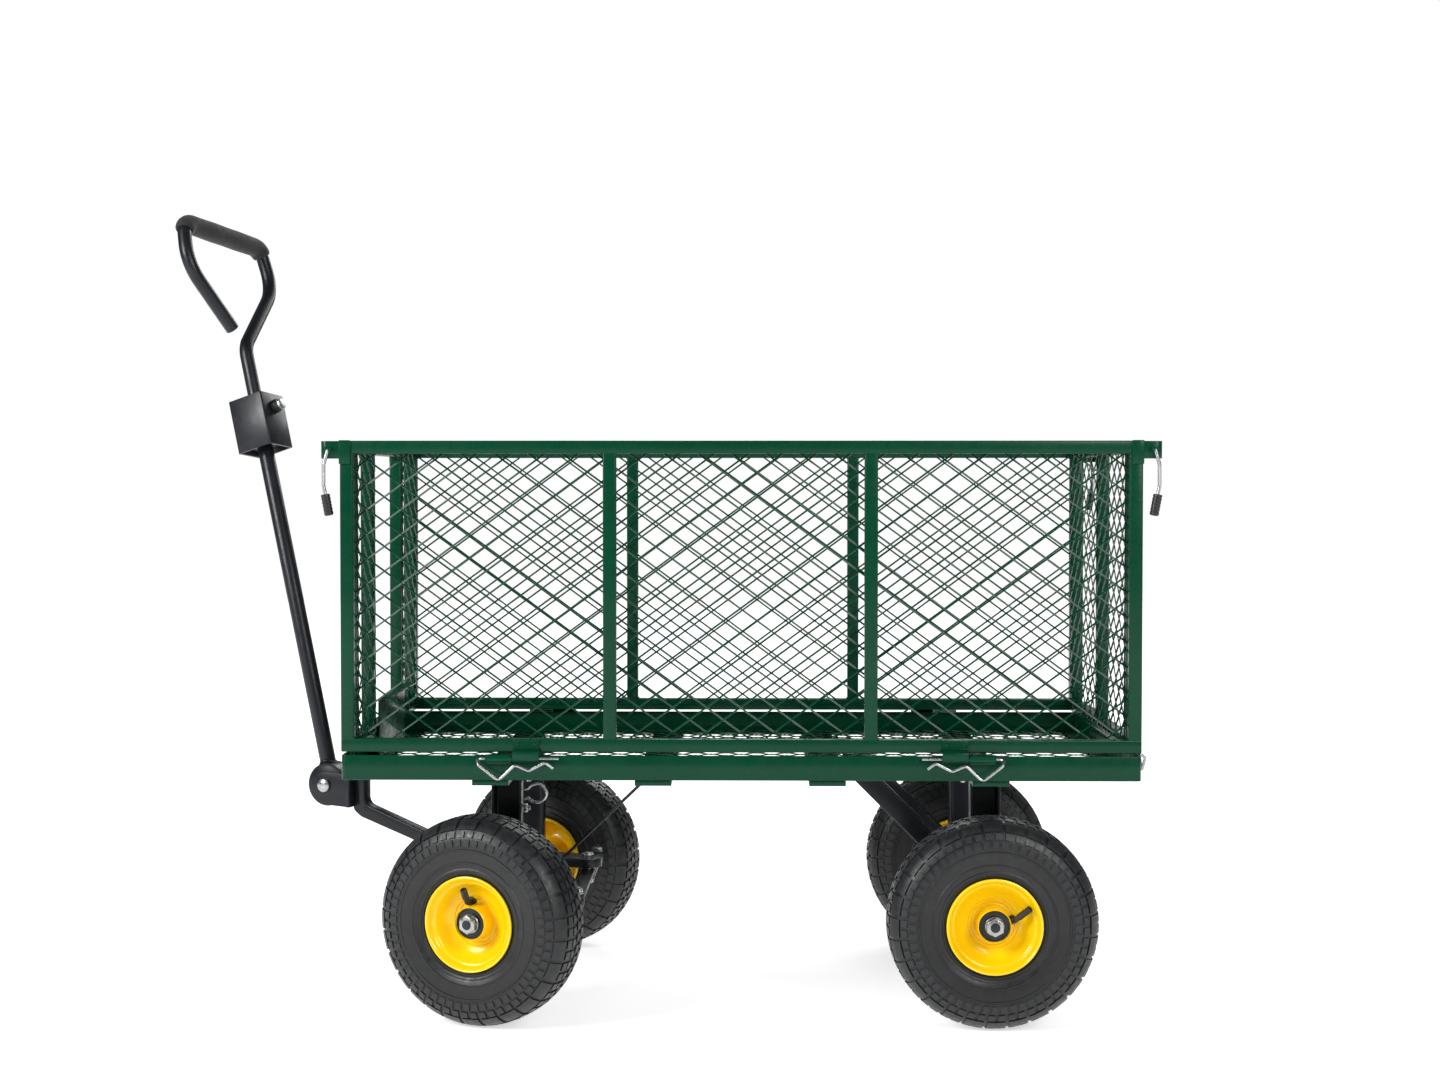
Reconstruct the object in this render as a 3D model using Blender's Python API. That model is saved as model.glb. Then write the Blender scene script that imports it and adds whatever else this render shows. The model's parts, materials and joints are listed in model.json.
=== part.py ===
"""Garden cart: mesh basket on a sheet-metal deck, four pneumatic wheels, knuckle steering and a pull handle.

Metres, +Z up. The cart runs along X with the handle at -X. Dimensions are taken from the middle of the deck
at ground level, and the root empty then moves the whole cart so that the origin is the middle of its footprint.
"""

import math

import bmesh
import bpy
from mathutils import Matrix, Vector

# Where the middle of the footprint lies from the middle of the deck
FOOTPRINT_X = -0.1443
FOOTPRINT_Y = 0.0261

# Deck
DECK_HALF_L = 0.490
DECK_HALF_W = 0.255
DECK_LOW = 0.3055
DECK_TOP = 0.3360
SHEET = 0.0025
FLANGE = 0.030
MEMBER_X = (-0.307, -0.107, 0.107, 0.307)
MEMBER_HALF = 0.0225
MEMBER_LOW = 0.2985
FLOOR_LOW = DECK_LOW + SHEET + 0.0003

# Panels
TUBE = 0.016
PANEL_LOW = 0.3400
PANEL_TOP = 0.7216
SIDE_POST_X = 0.160
END_HALF_W = 0.2365
FRONT_POST_Y = 0.110
STRAND = 0.0015
EAR = 0.0235
EAR_H = 0.0185

# Panel hinges
PIN_OUT = 0.0060
PIN_Z = 0.3330
PIN_R = 0.0020
PIN_HOLE_R = 0.0026
BARREL_R = 0.0052
KNUCKLE_W = 0.0330
SIDE_HINGE = 0.2788
REAR_HINGE = 0.1518

# Latches
LEVER_R = 0.0022
LEVER_PIN_R = 0.0025

# Wheels
WHEEL_R = 0.130
WHEEL_HALF_W = 0.0425
BEAD_R = 0.0595
RIM_R = 0.0590
HUB_R = 0.0185
HUB_HALF = 0.034
AXLE_R = 0.0080
BORE_R = 0.0086
AXLE_Z = WHEEL_R
TRACK_HALF = 0.236
REAR_X = 0.310
WHEEL_SEGMENTS = 20

# Steering
STEER = math.radians(-20)
STEER_X = -0.298
KINGPIN_Y = 0.172
KINGPIN_R = 0.0060
STUB_OUT = TRACK_HALF - KINGPIN_Y
ARM = 0.100
ARM_BOLT_R = 0.0040
ARM_HOLE_R = 0.0047
BEAM_LOW = 0.100
BEAM_TOP = 0.160
POST_HALF = 0.019
LUG_HALF = 0.018
POST_IN = 0.128
POST_OUT = 0.158

# Handle
PIVOT_AHEAD = 0.290
PIVOT_Z = 0.2514
LEAN = math.radians(16.8)
SIDE_LEAN = math.radians(6.4)
ROD_R = 0.0110
BOX_HALF = 0.028
BOX_LOW = 0.488
BOX_TOP = 0.566
LOOP_R = 0.0098
GRIP_R = 0.0135
GRIP_Z = 0.8185

GAP = 0.0003


def clear_scene():
    for obj in list(bpy.data.objects):
        bpy.data.objects.remove(obj)


def paint(name, color, roughness, metallic=0.0):
    material = bpy.data.materials.new(name)
    material.use_nodes = True
    shader = material.node_tree.nodes["Principled BSDF"]
    shader.inputs["Base Color"].default_value = (*color, 1.0)
    shader.inputs["Roughness"].default_value = roughness
    shader.inputs["Metallic"].default_value = metallic
    material.diffuse_color = (*color, 1.0)
    return material


def axis_empty(name, parent, location=(0, 0, 0), rotation=(0, 0, 0)):
    empty = bpy.data.objects.new(name, None)
    empty.empty_display_size = 0.05
    empty.parent = parent
    empty.location = location
    empty.rotation_euler = rotation
    bpy.context.scene.collection.objects.link(empty)
    return empty


def put(name, data, material, parent, location=(0, 0, 0), rotation=(0, 0, 0), smooth=True):
    """Adds an object with this mesh or curve, under its parent."""
    obj = bpy.data.objects.new(name, data)
    data.materials.clear()
    data.materials.append(material)
    if smooth and isinstance(data, bpy.types.Mesh):
        data.shade_smooth()
        data.set_sharp_from_angle(angle=math.radians(30))
    obj.parent = parent
    obj.location = location
    obj.rotation_euler = rotation
    bpy.context.scene.collection.objects.link(obj)
    return obj


def on_pivot(name, data, material, empty):
    """Adds a piece that was drawn from the middle of the deck, under an empty that stands on its joint's axis."""
    return put(name, data, material, empty, location=-Vector(empty.location))


def closed_mesh(bm):
    bmesh.ops.recalc_face_normals(bm, faces=bm.faces)
    mesh = bpy.data.meshes.new("shape")
    bm.to_mesh(mesh)
    bm.free()
    return mesh


def box(low, high):
    bm = bmesh.new()
    centre = (Vector(low) + Vector(high)) / 2
    size = Vector(high) - Vector(low)
    bmesh.ops.create_cube(bm, size=1.0, matrix=Matrix.Translation(centre) @ Matrix.Diagonal((*size, 1)))
    return closed_mesh(bm)


def spans_box(x, y, z):
    """A box from its extents along each axis."""
    return box((min(x), min(y), min(z)), (max(x), max(y), max(z)))


def prism(outline, low, high, axis="Y"):
    """An outline drawn in XZ and extruded along Y, or drawn in XY and extruded along Z."""
    bm = bmesh.new()
    place = (lambda u, v, w: (u, w, v)) if axis == "Y" else (lambda u, v, w: (u, v, w))
    face = bm.faces.new([bm.verts.new(place(u, v, low)) for u, v in outline])
    made = bmesh.ops.extrude_face_region(bm, geom=[face])
    moved = [item for item in made["geom"] if isinstance(item, bmesh.types.BMVert)]
    bmesh.ops.translate(bm, verts=moved, vec=Vector(place(0, 0, high - low)))
    return closed_mesh(bm)


def rod(start, end, radius, sides=16):
    bm = bmesh.new()
    along = Vector(end) - Vector(start)
    turn = along.to_track_quat("Z", "Y").to_matrix().to_4x4()
    place = Matrix.Translation((Vector(start) + Vector(end)) / 2) @ turn
    bmesh.ops.create_cone(bm, cap_ends=True, segments=sides, radius1=radius, radius2=radius,
                          depth=along.length, matrix=place)
    return closed_mesh(bm)


def turned(profile, segments):
    """A closed profile of (along, radius) points turned about the Y axis. A flat lies at the bottom, at its radius."""
    bm = bmesh.new()
    rings = []
    for step in range(segments):
        angle = math.tau * (step + 0.5) / segments - math.pi / 2
        out = 1 / math.cos(math.pi / segments)
        rings.append([bm.verts.new((r * out * math.cos(angle), a, r * out * math.sin(angle))) for a, r in profile])
    for ring, following in zip(rings, rings[1:] + rings[:1]):
        for i in range(len(profile)):
            j = (i + 1) % len(profile)
            bm.faces.new((ring[i], ring[j], following[j], following[i]))
    return closed_mesh(bm)


def bar_frame(across, up, openings, low, high):
    """A flat welded frame: the cells between the lines across and up are steel, except the openings."""
    bm = bmesh.new()
    corner = {}
    for i, x in enumerate(across):
        for j, z in enumerate(up):
            corner[i, j] = bm.verts.new((x, low, z))
    for i in range(len(across) - 1):
        for j in range(len(up) - 1):
            if (i, j) not in openings:
                bm.faces.new((corner[i, j], corner[i + 1, j], corner[i + 1, j + 1], corner[i, j + 1]))
    bmesh.ops.delete(bm, geom=[v for v in bm.verts if not v.link_faces], context="VERTS")
    made = bmesh.ops.extrude_face_region(bm, geom=bm.faces[:])
    moved = [item for item in made["geom"] if isinstance(item, bmesh.types.BMVert)]
    bmesh.ops.translate(bm, verts=moved, vec=(0, high - low, 0))
    return closed_mesh(bm)


def lattice(width, height, columns, rows, strand):
    """An expanded-metal sheet in XZ, centred, of diamond openings between the strands. It is flat at y = 0."""
    bm = bmesh.new()
    step_x = width / columns
    step_z = height / rows

    def inside(x, z):
        return -1e-6 <= x <= columns + 1e-6 and -1e-6 <= z <= rows + 1e-6

    centres = [(i + 0.5, j + 0.5) for i in range(columns) for j in range(rows)]
    centres += [(i, j) for i in range(columns + 1) for j in range(rows + 1)]
    for a, b in centres:
        reach = [(a + 0.5, b), (a, b + 0.5), (a - 0.5, b), (a, b - 0.5)]
        outline = [point for point in reach if inside(*point)]
        if len(outline) < 4:
            at = [k for k, point in enumerate(reach) if not inside(*point)]
            if len(at) == 1:
                outline = reach[at[0] + 1:] + reach[:at[0]]
            elif len(at) == 2:
                outline = [(a, b)] + sorted(outline, key=lambda p: (p[0] - a) * (p[1] - b))
        points = [Vector(((x - columns / 2) * step_x, 0, (z - rows / 2) * step_z)) for x, z in outline]
        middle = sum(points, Vector()) / len(points)
        near = min((point - middle).length for point in points)
        shrink = 1 - strand / near
        ring = [bm.verts.new(point) for point in points]
        hole = [bm.verts.new(middle + (point - middle) * shrink) for point in points]
        for i in range(len(points)):
            j = (i + 1) % len(points)
            bm.faces.new((ring[i], ring[j], hole[j], hole[i]))
    bmesh.ops.remove_doubles(bm, verts=bm.verts[:], dist=1e-5)
    bmesh.ops.recalc_face_normals(bm, faces=bm.faces[:])
    made = bmesh.ops.extrude_face_region(bm, geom=bm.faces[:])
    moved = [item for item in made["geom"] if isinstance(item, bmesh.types.BMVert)]
    bmesh.ops.translate(bm, verts=moved, vec=(0, STRAND, 0))
    return closed_mesh(bm)


def moved(mesh, matrix):
    mesh.transform(matrix)
    if matrix.determinant() < 0:
        mesh.flip_normals()
    return mesh


def weld(pieces, cuts=()):
    """Joins closed shapes into one body and then cuts the others out of it."""
    base = bpy.data.objects.new("weld", pieces[0])
    bpy.context.scene.collection.objects.link(base)
    helpers = []
    for operation, meshes in (("UNION", pieces[1:]), ("DIFFERENCE", cuts)):
        for mesh in meshes:
            helper = bpy.data.objects.new("helper", mesh)
            bpy.context.scene.collection.objects.link(helper)
            helpers.append(helper)
            modifier = base.modifiers.new(operation, "BOOLEAN")
            modifier.operation = operation
            modifier.solver = "EXACT"
            modifier.object = helper
    bpy.context.view_layer.update()
    graph = bpy.context.evaluated_depsgraph_get()
    mesh = bpy.data.meshes.new_from_object(base.evaluated_get(graph))
    for obj in [base, *helpers]:
        bpy.data.objects.remove(obj)
    return mesh


def rounded(corners, radius, steps=3):
    """A path through these corners, each turned with an arc."""
    corners = [Vector(corner) for corner in corners]
    path = [corners[0]]
    for before, corner, after in zip(corners, corners[1:], corners[2:]):
        back = (before - corner).normalized()
        on = (after - corner).normalized()
        half = back.angle(on) / 2
        centre = corner + (back + on).normalized() * radius / math.sin(half)
        start = (corner + back * radius / math.tan(half) - centre).normalized()
        end = (corner + on * radius / math.tan(half) - centre).normalized()
        path += [centre + start.slerp(end, step / steps) * radius for step in range(steps + 1)]
    return path + [corners[-1]]


def arc(centre, radius, first, last, steps):
    """Points on an arc in the XZ plane, by angles in degrees."""
    angles = [math.radians(first + (last - first) * step / steps) for step in range(steps + 1)]
    return [Vector(centre) + Vector((radius * math.cos(a), 0, radius * math.sin(a))) for a in angles]


def wire(points, radius, resolution=1):
    """A round wire or tube along a path."""
    curve = bpy.data.curves.new("wire", "CURVE")
    curve.dimensions = "3D"
    curve.bevel_depth = radius
    curve.bevel_resolution = resolution
    curve.use_fill_caps = True
    spline = curve.splines.new("POLY")
    spline.points.add(len(points) - 1)
    for point, place in zip(spline.points, points):
        point.co = (*place, 1.0)
    return curve


def hexagon(start, end, radius):
    return rod(start, end, radius, sides=6)


def turn_z(degrees):
    return Matrix.Rotation(math.radians(degrees), 4, "Z")


def hinge_half(along, side_out, lifted):
    """Half of a panel hinge on the -Y side, as (pieces, cut): the deck's lug, or the panel's tab where lifted.

    along is its extent in X, side_out the face that the pin stands out from.
    """
    pin_y = -side_out - PIN_OUT
    barrel = rod((min(along), pin_y, PIN_Z), (max(along), pin_y, PIN_Z), BARREL_R, sides=12)
    inset = 0.0005
    block_x = (min(along) + inset, max(along) - inset)
    if lifted:
        plate_y = (pin_y + 0.0005, pin_y + 0.0045)
        plate = spans_box(block_x, plate_y, (PIN_Z, PANEL_LOW + 0.012))
        foot = spans_box(block_x, (pin_y + 0.001, -side_out + 0.005), (PANEL_LOW + 0.003, PANEL_LOW + 0.0115))
        pieces = [barrel, plate, foot]
    else:
        block = spans_box(block_x, (pin_y - 0.0035, -side_out + 0.001), (PIN_Z - 0.0055, PIN_Z + 0.001))
        pieces = [barrel, block]
    reach = 0.01
    cut = rod((min(along) - reach, pin_y, PIN_Z), (max(along) + reach, pin_y, PIN_Z), PIN_HOLE_R, sides=12)
    return pieces, cut


def hairpin(centre_x, side, side_out):
    """A spring clip whose straight leg is the hinge pin. side is -1 where its bend is at the -X end."""
    pin_y = -side_out - PIN_OUT
    front_y = pin_y - 0.0095
    reach = KNUCKLE_W + 0.004

    def x(outward):
        return centre_x + side * outward

    corners = [
        (x(-reach - 0.020), pin_y, PIN_Z),
        (x(reach + 0.001), pin_y, PIN_Z),
        (x(reach + 0.006), pin_y - 0.003, PIN_Z - 0.001),
        (x(reach + 0.003), front_y, PIN_Z - 0.007),
        (x(0.016), front_y, PIN_Z - 0.026),
        (x(-0.004), front_y, PIN_Z - 0.0065),
        (x(-0.021), front_y, PIN_Z - 0.014),
        (x(-0.041), front_y, PIN_Z - 0.0035),
        (x(-0.051), front_y, PIN_Z - 0.011),
    ]
    return wire(rounded(corners, 0.0030, steps=2), PIN_R)


def build_deck(parent, green, zinc):
    """The deck's folded tray with its four cross-members and hinge lugs, and its expanded-metal floor."""
    half_l, half_w = DECK_HALF_L, DECK_HALF_W

    def ring(width, low, high):
        across = (-half_l, -half_l + width, half_l - width, half_l)
        up = (-half_w, -half_w + width, half_w - width, half_w)
        flat = bar_frame(across, up, {(1, 1)}, low, high)
        return moved(flat, Matrix(((1, 0, 0, 0), (0, 0, 1, 0), (0, 1, 0, 0), (0, 0, 0, 1))))

    pieces = [ring(SHEET, DECK_LOW, DECK_TOP), ring(FLANGE, DECK_LOW, DECK_LOW + SHEET)]
    for x in MEMBER_X:
        pieces.append(spans_box((x - MEMBER_HALF, x + MEMBER_HALF), (-half_w + 0.0015, half_w - 0.0015),
                                (MEMBER_LOW, DECK_LOW + SHEET - 0.0005)))
    cuts = []
    for end in (-1, 1):
        for turn in (0, 180):
            along = (end * (SIDE_HINGE + 0.0004), end * (SIDE_HINGE + KNUCKLE_W))
            lug, cut = hinge_half(along, half_w, lifted=False)
            pieces += [moved(mesh, turn_z(turn)) for mesh in lug]
            cuts.append(moved(cut, turn_z(turn)))
        along = (end * (REAR_HINGE + 0.0004), end * (REAR_HINGE + KNUCKLE_W))
        lug, cut = hinge_half(along, half_l, lifted=False)
        pieces += [moved(mesh, turn_z(90)) for mesh in lug]
        cuts.append(moved(cut, turn_z(90)))
    put("deck_frame", weld(pieces, cuts), green, parent)

    length = 2 * half_l - 2 * 0.026
    width = 2 * half_w - 2 * 0.010
    floor = lattice(length, width, 8, 4, 0.006)
    lay = Matrix(((1, 0, 0, 0), (0, 0, 1, 0), (0, 1, 0, FLOOR_LOW), (0, 0, 0, 1)))
    put("deck_floor_mesh", moved(floor, lay), green, parent)

    plate_x = (-half_l + 0.0185, -half_l + 0.0210)
    plate = [spans_box(plate_x, (-0.100, 0.100), (FLOOR_LOW, 0.392)),
             spans_box((plate_x[0], plate_x[0] + 0.016), (-0.0995, 0.0995), (0.3895, 0.3915))]
    slot = spans_box((plate_x[0] - 0.01, plate_x[1] + 0.01), (-0.002, 0.002), (0.366, 0.384))
    put("front_socket_plate", weld(plate, [slot]), green, parent)

    for end, name in ((-1, "front"), (1, "rear")):
        pin = hairpin(end * SIDE_HINGE, end, half_w)
        put(f"hinge_pin_near_{name}", pin, zinc, parent)
        pin = hairpin(-end * SIDE_HINGE, -end, half_w)
        put(f"hinge_pin_far_{name}", pin, zinc, parent, rotation=(0, 0, math.pi))
    for end, name in ((-1, "near"), (1, "far")):
        pin = hairpin(end * REAR_HINGE, end, half_l)
        put(f"hinge_pin_rear_{name}", pin, zinc, parent, rotation=(0, 0, math.pi / 2))


def side_panel_shapes():
    """The frame and mesh of the side panel at -Y."""
    half = DECK_HALF_L
    ear = half + EAR
    post = SIDE_POST_X
    across = (-ear, -half, -half + TUBE, -post - TUBE / 2, -post + TUBE / 2,
              post - TUBE / 2, post + TUBE / 2, half - TUBE, half, ear)
    up = (PANEL_LOW, PANEL_LOW + TUBE, PANEL_TOP - EAR_H, PANEL_TOP - TUBE, PANEL_TOP)
    openings = {(i, j) for i in (2, 4, 6) for j in (1, 2)}
    openings |= {(i, j) for i in (0, 8) for j in (0, 1)}
    frame = [bar_frame(across, up, openings, -DECK_HALF_W, -DECK_HALF_W + TUBE)]
    cuts = []
    for end in (-1, 1):
        tab, cut = hinge_half((end * (SIDE_HINGE - KNUCKLE_W), end * SIDE_HINGE), DECK_HALF_W, lifted=True)
        frame += tab
        cuts.append(cut)
        pin_x = end * (half + EAR / 2 + 0.001)
        pin_z = PANEL_TOP - EAR_H / 2
        frame.append(rod((pin_x, -DECK_HALF_W + 0.004, pin_z), (pin_x, -DECK_HALF_W - 0.007, pin_z), LEVER_PIN_R))
    sheet = lattice(2 * (half - TUBE), PANEL_TOP - PANEL_LOW - TUBE, 8, 3, 0.006)
    sheet = moved(sheet, Matrix.Translation((0, -DECK_HALF_W + TUBE + GAP, (PANEL_LOW + PANEL_TOP) / 2)))
    return weld(frame, cuts), sheet


def end_panel_shapes(hinged):
    """The frame and the mesh sheets of an end panel, drawn as one that stands at -Y.

    A panel without hinges has two pegs, and two posts with an open bay between them.
    """
    half = END_HALF_W
    face = -DECK_HALF_L
    posts = (0,) if hinged else (-FRONT_POST_Y, FRONT_POST_Y)
    edges = [post + way * TUBE / 2 for post in posts for way in (-1, 1)]
    across = (-half, -half + TUBE, *edges, half - TUBE, half)
    up = (PANEL_LOW, PANEL_LOW + TUBE, PANEL_TOP - TUBE, PANEL_TOP)
    frame = [bar_frame(across, up, {(bay, 1) for bay in range(1, 2 * len(posts) + 2, 2)}, face, face + TUBE)]
    cuts = []
    for end in (-1, 1):
        if hinged:
            tab, cut = hinge_half((end * (REAR_HINGE - KNUCKLE_W), end * REAR_HINGE), DECK_HALF_L, lifted=True)
            frame += tab
            cuts.append(cut)
        else:
            peg = (end * 0.055 - 0.006, end * 0.055 + 0.006)
            frame.append(spans_box(peg, (face + 0.0040, face + 0.0140), (DECK_LOW + 0.008, PANEL_LOW + 0.004)))
    middle = (PANEL_LOW + PANEL_TOP) / 2
    height = PANEL_TOP - PANEL_LOW - TUBE
    if hinged:
        sheet = lattice(2 * half - TUBE, height, 4, 3, 0.006)
        return weld(frame, cuts), [moved(sheet, Matrix.Translation((0, face + TUBE + GAP, middle)))]
    width = half - TUBE / 2 - FRONT_POST_Y
    at = (half - TUBE / 2 + FRONT_POST_Y) / 2
    sheets = [moved(lattice(width, height, 1, 3, 0.006), Matrix.Translation((end * at, face + TUBE + GAP, middle)))
              for end in (-1, 1)]
    return weld(frame, cuts), sheets


def lever_shapes(end):
    """The latch lever and its sleeve at one end of the side panel at -Y, both from the lever's pin."""
    eye = LEVER_PIN_R + GAP + LEVER_R
    loop = arc((0, 0, 0), eye, 150, -140, 10)
    outline = [loop[-1], (-0.0085, 0, -0.0145), (-0.0085, 0, -0.034), (-0.0035, 0, -0.046), (-0.001, 0, -0.056)]
    path = loop[:-1] + rounded(outline, 0.006, steps=2)
    sleeve = rod((-0.0010, 0, -0.0563), (0.0040, 0, -0.0823), 0.0055, sides=12)
    mirror = Matrix.Scale(-1, 4, (1, 0, 0))
    if end > 0:
        path = [mirror @ Vector(point) for point in path]
        sleeve = moved(sleeve, mirror)
    return wire(path, LEVER_R), sleeve


def build_panels(parent, green, zinc, plastic):
    """Four mesh panels on their hinges, and a latch lever at each end of the side panels."""
    pin_y = DECK_HALF_W + PIN_OUT
    lever_x = DECK_HALF_L + EAR / 2 + 0.001
    lever_z = PANEL_TOP - EAR_H / 2
    for side, name in ((-1, "near"), (1, "far")):
        hinge = axis_empty(f"axis_side_{name}", parent, (0, side * pin_y, PIN_Z))
        turn = turn_z(0 if side < 0 else 180)
        frame, sheet = side_panel_shapes()
        on_pivot(f"side_panel_{name}", moved(frame, turn), green, hinge)
        on_pivot(f"side_mesh_{name}", moved(sheet, turn), green, hinge)
        for end, place in ((-1, "front"), (1, "rear")):
            pivot = Vector((end * lever_x, side * (DECK_HALF_W + 0.0030), lever_z))
            pin = axis_empty(f"axis_latch_{name}_{place}", hinge, pivot - Vector(hinge.location))
            lever, sleeve = lever_shapes(end)
            put(f"latch_lever_{name}_{place}", lever, zinc, pin)
            put(f"latch_grip_{name}_{place}", sleeve, plastic, pin)
    rear = axis_empty("axis_tailgate", parent, (DECK_HALF_L + PIN_OUT, 0, PIN_Z))
    frame, sheets = end_panel_shapes(hinged=True)
    on_pivot("tailgate", moved(frame, turn_z(90)), green, rear)
    on_pivot("tailgate_mesh", moved(sheets[0], turn_z(90)), green, rear)
    front = axis_empty("axis_front_panel", parent, (-DECK_HALF_L, 0, PANEL_LOW))
    frame, sheets = end_panel_shapes(hinged=False)
    on_pivot("front_panel", moved(frame, turn_z(-90)), green, front)
    for sheet, name in zip(sheets, ("far", "near")):
        on_pivot(f"front_mesh_{name}", moved(sheet, turn_z(-90)), green, front)


def tyre_mesh():
    """A hollow tyre casing, open towards the rim."""
    r, w = WHEEL_R, WHEEL_HALF_W
    outside = [(-0.0335, BEAD_R), (-0.0335, 0.0625), (-w, 0.088), (-w + 0.002, 0.110), (-0.029, 0.1245), (-0.012, r)]
    outside += [(-a, b) for a, b in reversed(outside)]
    inside = [(0.0265, BEAD_R), (0.0330, 0.095)]
    inside += [(-a, b) for a, b in reversed(inside)]
    return turned(outside + inside, WHEEL_SEGMENTS)


def rim_mesh():
    """A stamped rim: barrel with two lips, dished web and hub tube. The dish opens towards +Y."""
    lip = RIM_R + 0.003
    profile = [
        (HUB_HALF, BORE_R), (HUB_HALF, HUB_R), (0.014, HUB_R), (0.014, 0.033), (0.028, 0.050),
        (0.0385, 0.0585), (0.0385, lip), (0.0340, lip), (0.0340, RIM_R),
        (-0.0340, RIM_R), (-0.0340, lip), (-0.0385, lip), (-0.0385, 0.0555), (0.026, 0.0555),
        (0.011, 0.035), (0.011, HUB_R), (-HUB_HALF, HUB_R), (-HUB_HALF, BORE_R),
    ]
    return turned(profile, WHEEL_SEGMENTS)


def build_wheel(name, pivot, outward, colours, nut_parent, nut_at):
    """A wheel under its own axis empty, and the nut that holds it on the axle. outward is the side of its dish."""
    rubber, yellow, zinc = colours
    flip = Matrix.Identity(4) if outward > 0 else Matrix.Scale(-1, 4, (0, 1, 0))
    put(f"tyre_{name}", moved(tyre_mesh(), flip), rubber, pivot)
    put(f"rim_{name}", moved(rim_mesh(), flip), yellow, pivot)
    start = outward * (HUB_HALF + GAP)
    end = outward * (HUB_HALF + 0.0090)
    put(f"axle_nut_{name}", hexagon((0, start, 0), (0, end, 0), 0.0125), zinc, nut_parent, location=nut_at)


def axle_frame(x, low_posts):
    """The posts that carry an axle under the deck, on both sides."""
    return [spans_box((x - POST_HALF, x + POST_HALF), (side * POST_IN, side * POST_OUT), (low_posts, MEMBER_LOW - GAP))
            for side in (-1, 1)]


def build_rear(parent, colours, black):
    """The rear axle: posts and cross-beam, the axle shaft, two struts and both wheels."""
    zinc = colours[2]
    x = REAR_X
    pieces = axle_frame(x, 0.112)
    pieces.append(spans_box((x - POST_HALF + 0.002, x + POST_HALF - 0.002), (-POST_IN - 0.005, POST_IN + 0.005),
                            (0.143, 0.168)))
    hole = rod((x, -0.2, AXLE_Z), (x, 0.2, AXLE_Z), BORE_R)
    put("rear_axle_frame", weld(pieces, [hole]), black, parent)
    reach = TRACK_HALF + HUB_HALF
    put("rear_axle_shaft", rod((x, -reach, AXLE_Z), (x, reach, AXLE_Z), AXLE_R), zinc, parent)
    top = MEMBER_LOW - GAP
    end = x - POST_HALF + 0.002 - GAP
    outline = [(end - 0.155, top), (end, top - 0.155), (end, top - 0.120), (end - 0.120, top)]
    for side, name in ((-1, "near"), (1, "far")):
        strut = prism(outline, min(side * 0.090, side * 0.115), max(side * 0.090, side * 0.115))
        put(f"rear_strut_{name}", strut, black, parent)
        at = Vector((x, side * TRACK_HALF, AXLE_Z))
        spin = axis_empty(f"axis_wheel_rear_{name}", parent, at)
        build_wheel(f"rear_{name}", spin, side, colours, parent, at)


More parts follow.
